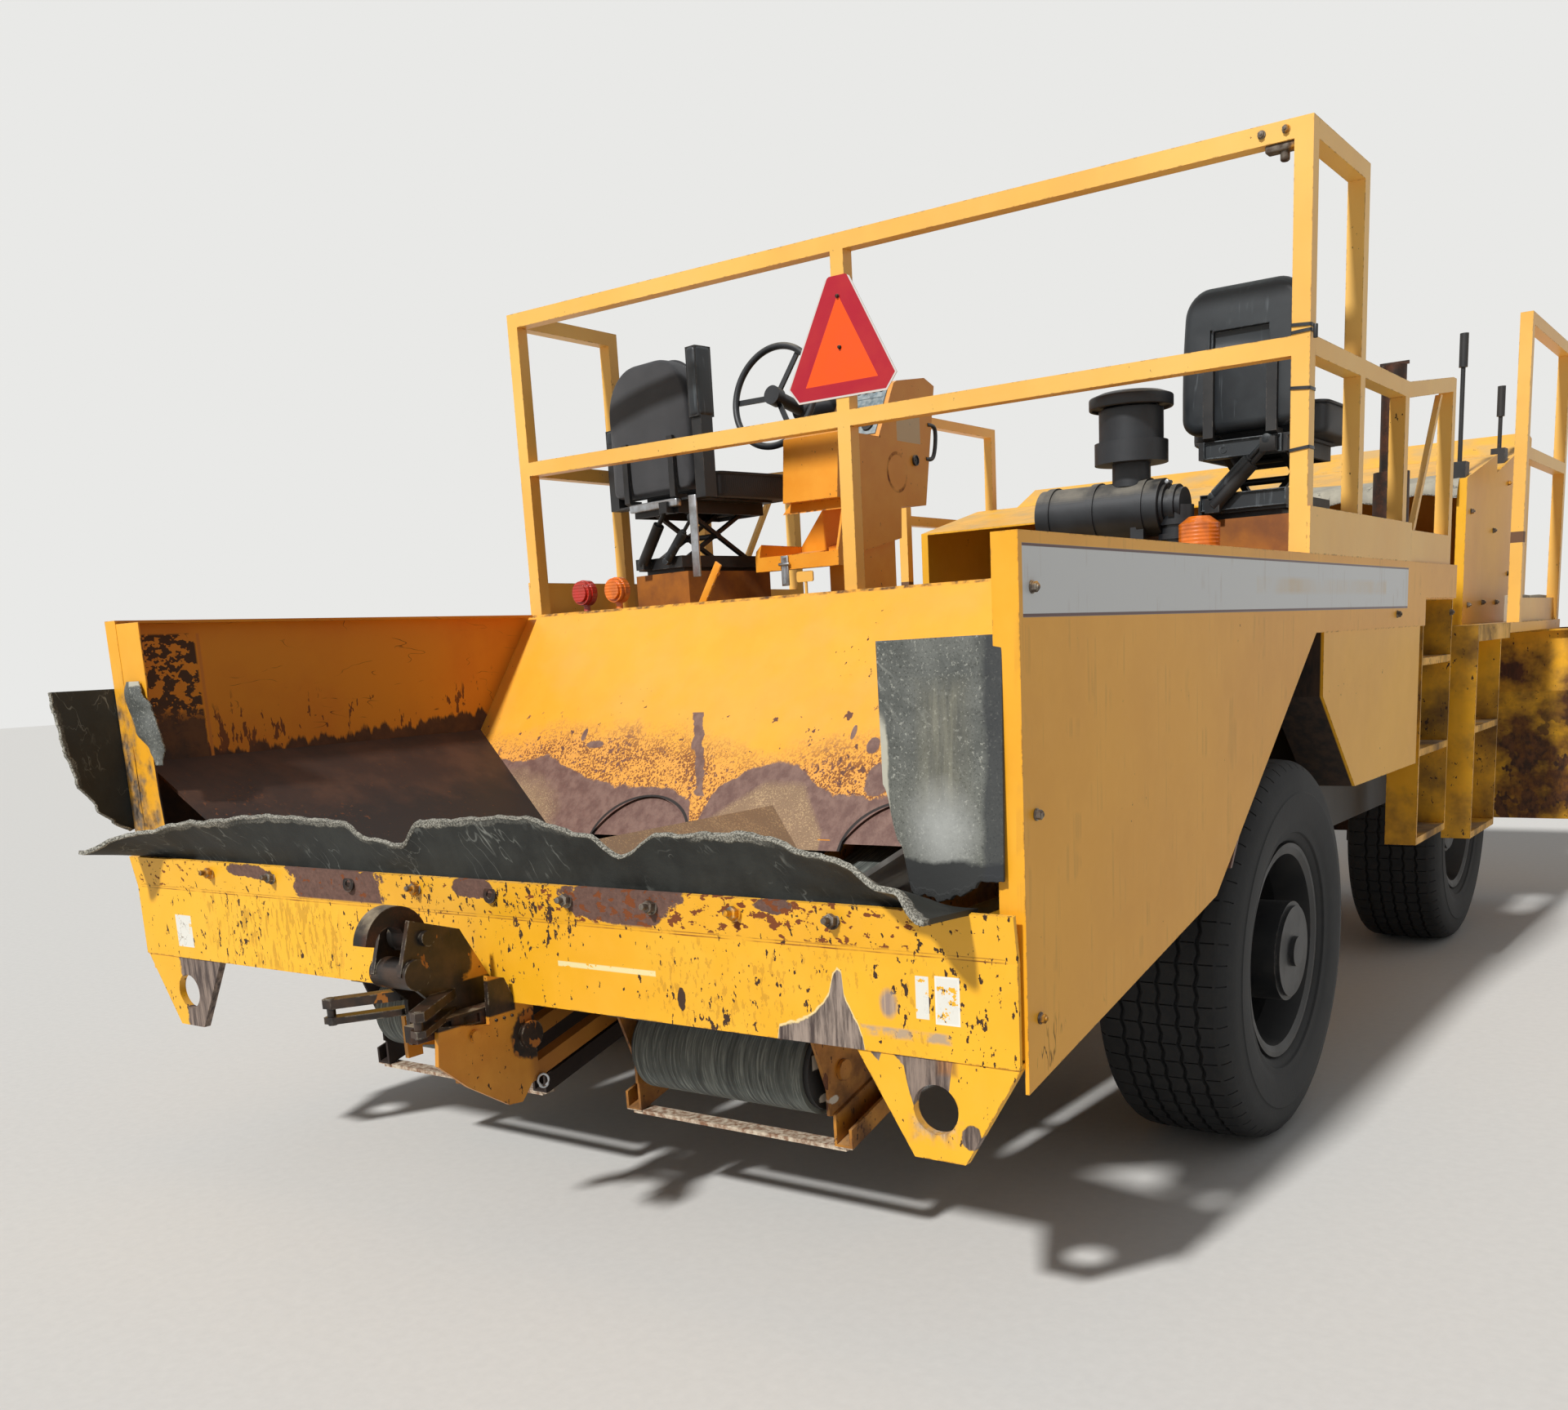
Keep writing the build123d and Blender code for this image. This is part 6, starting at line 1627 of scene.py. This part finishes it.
def make_channel(name, low, high):
    """A rail open to the rear, with its flanges left standing and a bolt hole in its web."""
    rail = box_between(name, low, high)
    press(rail, lambda middle, way: way.y < -0.9, (0.004, (0, 0.008, 0)))
    bevel_edges(rail, lambda middle, way: abs(way.x) > 0.9 and middle.y < low[1] + 0.002, 0.0015, 2)
    ring = make_ring(0.011, 0.006, 0.003)
    ring.data.transform(Matrix.Translation((low[0] + (high[0] - low[0]) * 0.25, low[1] + 0.009,
                                            (low[2] + high[2]) / 2)))
    return joined(name, [rail, ring])


for side, foot, head, rails in SEAT_GEAR:
    place(make_damper(f"seat_damper_{side}", foot, head), "shell_plastic", "black_plastic")
    for number, (low, high) in enumerate(rails):
        place(make_channel(f"seat_rail_{side}_{number + 1}", low, high), "shell_plastic", "black_steel")

strap = box_between("seat_strap", (-0.872, -0.752, 1.700), (-0.838, -0.742, 1.990))
cut(strap, (0, 0, 1.85), (0, 0, 1))
soften(strap, 0.003, 2, 40)
place(strap, "bright_steel", "worn_steel")

# Wire ties round the right corner post. Columns: height, tilt in degrees
POST = (1.392, 1.440, -1.025, -0.977)             # low and high across, low and high along
ties = []
for height, tilt in ((2.166, 4.0), (2.150, -3.0), (2.012, 5.0), (1.862, -6.0)):
    band = box_between("tie", (POST[0] - 0.003, POST[2] - 0.003, -0.004), (POST[1] + 0.003, POST[3] + 0.003, 0.004))
    bevel_edges(band, lambda middle, way: abs(way.z) > 0.9, 0.006, 3)
    edit(band)
    pick(band, "faces", lambda middle, way: abs(way.z) > 0.9)
    bpy.ops.mesh.inset(thickness=0.003)
    leave()
    band.data.transform(Matrix.Translation((0, 0, height)) @ Matrix.Rotation(radians(tilt), 4, "Y")
                        @ Matrix.Translation((-1.416, 0, 0)))
    band.data.transform(Matrix.Translation((1.416, 0, 0)))
    ties.append(band)
knot = rod("knot", (1.452, -1.020, 2.146), 0.006, 0.034, "z", 12)
bevel_rims(knot, "z", 0.002, 2)
place(joined("post_ties", ties + [knot]), "black_plastic", "black_plastic")

# Console: the cabinet with its shelf and steep instrument face cut out of a welded copy, dials, handle, gauge, latch
SHELF_Z, DASH_FOOT, DASH_HEAD = 2.190, (-0.150, 2.190), (-0.022, 2.407)      # foot and head as (along, height)
cabinet = welded_copy("console_cabinet", "console")
wedge = box_between("wedge", (-0.83, -0.50, SHELF_Z), (-0.40, DASH_FOOT[0], SHELF_Z + 0.28))
edit(wedge)
pick(wedge, "verts", lambda middle, way: middle.y > -0.2 and middle.z > SHELF_Z + 0.1)
bpy.ops.transform.translate(value=(0, 0.28 * (DASH_HEAD[0] - DASH_FOOT[0]) / (DASH_HEAD[1] - DASH_FOOT[1]), 0))
leave()
cut_away(cabinet, wedge)
place(cabinet, "console_paint", "orange", CHASSIS, ("console",), 0)

DASH_LEAN = Matrix.Rotation(atan2(DASH_FOOT[0] - DASH_HEAD[0], DASH_HEAD[1] - DASH_FOOT[1]), 4, "X")
to_dash = Matrix.Translation((-0.547, (DASH_FOOT[0] + DASH_HEAD[0]) / 2, (DASH_FOOT[1] + DASH_HEAD[1]) / 2)) @ DASH_LEAN
dash = box_between("dash_panel", (-0.108, -0.005, -0.112), (0.108, 0.003, 0.112))
for z in (-0.030, 0.062):
    cut(dash, (0, 0, z), (0, 0, 1))
press(dash, lambda middle, way: way.y < -0.9 and -0.030 < middle.z < 0.062, (0.010, (0, 0.003, 0)))
soften(dash, 0.002, 2, 40)
dash.data.transform(to_dash)
place(dash, "dash_board", "worn_steel")


def make_dial(radius, deep):
    """An instrument: a bezel round a sunken face with a boss in its middle."""
    dial = rod("dial", (0, -deep / 2, 0), radius, deep, "y", 28)
    press(dial, lambda middle, way: way.y < -0.9, (radius * 0.18, (0, deep * 0.4, 0)),
          (radius * 0.62, (0, -deep * 0.2, 0)))
    return dial


upright = Matrix.Identity(3)
dials = joined("dash_dials", [
    repeated("top", make_dial(0.011, 0.012),
             [((x, -0.004, 0.087), upright) for x in (-0.085, -0.051, -0.017, 0.017, 0.051, 0.085)]),
    repeated("low", make_dial(0.024, 0.010), [((x, -0.004, -0.072), upright) for x in (-0.066, 0.0, 0.066)])])
dials.data.transform(to_dash)
place(dials, "black_plastic", "black_plastic")
handle = piping("console_handle", ((-0.424, 0.215, 2.264), (-0.424, 0.262, 2.267), (-0.424, 0.284, 2.250),
                                   (-0.424, 0.280, 2.195), (-0.424, 0.264, 2.148), (-0.424, 0.240, 2.133),
                                   (-0.424, 0.196, 2.134)), 0.0085, closed=False)
place(handle, "black_plastic", "black_plastic", CHASSIS, (), 60)

# Air cleaner: the bowl's wide lid, and the bright clamp between the hose's ribs
lid = rod("intake_lid", (0.880, -0.850, 2.063), 0.120, 0.032, "z", 56)
edit(lid)
pick(lid, "faces", lambda middle, way: way.z > 0.9)
bpy.ops.mesh.inset(thickness=0.030)
bpy.ops.transform.translate(value=(0, 0, 0.011))
pick(lid, "faces", lambda middle, way: way.z < -0.9)
sink(0.008, (0, 0, 0.010))
leave()
soften(lid, 0.004, 3, 40)
place(lid, "black_plastic", "black_plastic")
clamp = turned("intake_clamp", ((-0.007, 0.050), (0.007, 0.050), (0.007, 0.0655), (0.005, 0.067), (-0.005, 0.067),
                                (-0.007, 0.0655)), (1.003, -0.850, 1.766), 56)
screw = rod("screw", (1.003, -0.875, 1.832), 0.006, 0.034, "y", 14)
bevel_rims(screw, "y", 0.0015, 2)
place(joined("intake_clamp", [clamp, screw]), "bright_steel", "worn_steel")

# Top rail: two bolts and the small lamp holder under them; and the emblem's two bolts
holder = box_between("rail_fitting", (1.315, -1.019, 2.590), (1.396, -0.984, 2.610))
cut(holder, (1.355, 0, 0), (1, 0, 0))
soften(holder, 0.005, 3, 40)
bulb = rod("bulb", (1.362, -1.001, 2.580), 0.012, 0.026, "z", 24)
bevel_edges(bulb, lambda middle, way: abs(way.z) < 0.5 and middle.z < 2.570, 0.006, 4)
nuts = repeated("nuts", make_nut(0.010, 0.010), [((x, -1.025, 2.635), upright) for x in (1.309, 1.371)])
place(joined("rail_fitting", [holder, bulb, nuts]), "bolt_steel", "worn_steel")
nuts = repeated("emblem_bolts", make_nut(0.006, 0.004),
                [((0.0, -1.028, EMBLEM_MIDDLE + z), upright) for z in (0.118, -0.030)])
place(nuts, "dark_steel", "dark_steel")

gauge = rod("console_gauge", (-0.417, 0.108, 2.121), 0.020, 0.012, "x", 32)
press(gauge, lambda middle, way: way.x > 0.9, (0.004, (-0.004, 0, 0)), (0.013, (0.002, 0, 0)))
place(gauge, "black_plastic", "black_plastic")
latch = box_between("tray_latch", (-0.676, -0.468, 1.656), (-0.644, -0.462, 1.766))
press(latch, lambda middle, way: way.y < -0.9, (0.009, (0, 0.003, 0)))
hasp = rod("hasp", (-0.660, -0.470, 1.735), 0.006, 0.048, "x", 16)
bevel_rims(hasp, "x", 0.0015, 2)
latch = joined("tray_latch", [latch, hasp])
soften(latch, 0.001, 2, 50)
place(latch, "bright_steel", "worn_steel")

# Strap with holes and a small plate on a stalk, both on the deck's rear edge
strap = box_between("deck_strap", (-0.004, -0.014, -0.078), (0.004, 0.014, 0.078))
for z in (-0.045, 0.0, 0.045):
    cut(strap, (0, 0, z), (0, 0, 1))
soften(strap, 0.002, 2, 40)
holes = repeated("holes", make_ring(0.008, 0.005, 0.0015), [((0, -0.014, z), upright) for z in (-0.045, 0.0, 0.045)])
strap = joined("deck_strap", [strap, holes])
strap.data.transform(Matrix.Translation((-0.585, -1.012, 1.655)) @ Matrix.Rotation(radians(33), 4, "Y")
                     @ Matrix.Rotation(radians(90), 4, "Z"))
place(strap, "console_paint", "orange")
plate = box_between("deck_plate", (-0.215, -1.020, 1.634), (-0.150, -1.014, 1.668))
bevel_edges(plate, lambda middle, way: abs(way.y) > 0.9, 0.006, 3)
stalk = rod("stalk", (-0.182, -1.014, 1.614), 0.005, 0.044, "z", 12)
bevel_rims(stalk, "z", 0.001, 1)
place(joined("deck_plate", [plate, stalk]), "rail_paint", "orange")

# Hitch: a welded copy, its left foot plate cut back to a lug, with the left belt's pulley in view beside it
hitch = welded_copy("hitch_body", "hitch_frame")
for back, front, low, high in ((-0.275, -0.172, 0.380, 0.6315), (-0.128, -0.030, 0.380, 0.608),
                               (-0.180, -0.120, 0.380, 0.512), (-0.040, 0.045, 0.380, 0.409)):
    cut_away(hitch, box_between("cutter", (-0.1135, TAIL + back, low), (-0.0985, TAIL + front, high)))
place(hitch, "hitch_paint", "orange", CHASSIS, ("hitch_frame",), 0)

# Slotted bar from the fork to the hitch's right foot plate, with its bolts, and the ring under the foot
slots = box_between("hitch_bar", (0.056, TAIL - 0.300, 0.600), (0.098, TAIL - 0.020, 0.640))
for y in (-0.255, -0.190, -0.170, -0.105, -0.085, -0.040):
    cut(slots, (0, TAIL + y, 0), (0, 1, 0))
edit(slots)
pick(slots, "faces", lambda middle, way: way.x > 0.9 and any(low < middle.y - TAIL < high for low, high in
     ((-0.255, -0.190), (-0.170, -0.105), (-0.085, -0.040))))
sink(0.009, (-0.010, 0, 0))
leave()
soften(slots, 0.0025, 2, 45)
bolts = repeated("bolts", make_nut(0.009, 0.014),
                 [((0.099, TAIL + y, 0.606), facing_turn((1, 0, 0))) for y in (-0.030, -0.055, -0.080)])
place(joined("hitch_bar", [slots, bolts]), "dark_steel", "dark_steel")
ring = start(bpy.ops.mesh.primitive_torus_add, "hitch_ring", major_radius=0.014, minor_radius=0.0030,
             major_segments=36, minor_segments=10, location=(0.108, TAIL + 0.055, 0.424),
             rotation=(0.3, radians(80), 0))
edit(ring)
pick(ring, "verts", lambda middle, way: middle.z < 0.414)
bpy.ops.transform.translate(value=(0, 0, -0.004))
leave()
place(ring, "bright_steel", "worn_steel")

# End of the gravel guard beside the right belt's arch
guard = box_between("belt_guard_end", (0.206, -1.575, 0.845), (0.250, -1.440, 0.872))
press(guard, lambda middle, way: way.z > 0.9, (0.005, (0, 0, -0.018)))
bevel_edges(guard, lambda middle, way: abs(way.y) > 0.9 and middle.z > 0.870, 0.002, 2)
place(guard, "console_paint", "orange")

# Wide rear plate of the left panel, and the scrap of rubber caught on it. Columns: height, low and high across
corner = box_between("left_corner_plate", (-1.440, TAIL + 0.001, 0.930), (-1.282, TAIL + 0.007, 1.586))
for z in (1.10, 1.26, 1.42):
    cut(corner, (0, 0, z), (0, 0, 1))
edit(corner)
pick(corner, "verts", lambda middle, way: middle.x > -1.3 and abs(middle.z - 1.26) < 0.01)
bpy.ops.transform.translate(value=(-0.010, -0.006, 0))
pick(corner, "verts", lambda middle, way: middle.x > -1.3 and abs(middle.z - 1.10) < 0.01)
bpy.ops.transform.translate(value=(-0.022, 0.004, 0))
leave()
soften(corner, 0.002, 2, 50)
place(corner, "side_paint", "orange", smooth=20)
SCRAP = ((1.190, -1.262, -1.232), (1.230, -1.300, -1.226), (1.285, -1.345, -1.228), (1.350, -1.378, -1.262),
         (1.400, -1.376, -1.290), (1.425, -1.368, -1.300))


def scrap_point(u, v):
    z = SCRAP[0][0] + u * (SCRAP[-1][0] - SCRAP[0][0])
    low, high = between(SCRAP, z)
    high += tear(z, 0.006)
    bow = 0.012 * sin(pi * v) + 0.004 * sin(z * 60.0)
    return Vector((low + (high - low) * v, TAIL - 0.010 - bow, z))


scrap = rubber_sheet("flange_scrap", 40, 14, scrap_point, 0.007, 1.0)
place(scrap, "chalky_rubber", "flap_rubber", CHASSIS, (), 50)

# Toe boards of the front platform, and the rubber apron over the hood's rear edge
boards = []
for side, sign in SIDES:
    for number, (back, front) in enumerate(((1.800, 2.270), (2.278, 2.740))):
        x = sign * 1.440
        board = box_between("board", (x - 0.011, back, 1.382), (x + 0.011, front, 1.492))
        cut(board, (0, (back + front) / 2, 0), (0, 1, 0))
        edit(board)
        pick(board, "verts", lambda middle, way: middle.z > 1.4 and abs(middle.y - (back + front) / 2) < 0.01)
        bpy.ops.transform.translate(value=(sign * 0.003, 0, 0.003))
        leave()
        soften(board, 0.0025, 2, 40)
        boards.append(board)
place(joined("toe_boards", boards), "grey_board", "worn_steel")

HOOD_BACK, HOOD_BACK_Z, HOOD_SLOPE = TAIL + 4.326, 1.969, 0.2264


def apron_point(u, v):
    """Lies on the hood's slope, folds over its rear edge and hangs behind it."""
    x = 0.600 + 0.670 * u
    on_top = 0.150 + 0.05 * sin(x * 5.0)
    hang = 0.070 + 0.012 * sin(x * 21.0)
    ripple = 0.004 + 0.004 * sin(x * 34.0) * sin(pi * v)
    if v < 0.6:
        reach = on_top * (1 - v / 0.6)
        return Vector((x, HOOD_BACK + reach, HOOD_BACK_Z + HOOD_SLOPE * reach + ripple + 0.001))
    part = (v - 0.6) / 0.4
    return Vector((x, HOOD_BACK - 0.004 - 0.030 * sin(part * 1.7) - ripple, HOOD_BACK_Z + 0.004 - hang * part))


apron = rubber_sheet("hood_apron", 60, 24, apron_point, 0.005, 1.0)
place(apron, "hood_rubber", "flap_rubber", CHASSIS, (), 50)
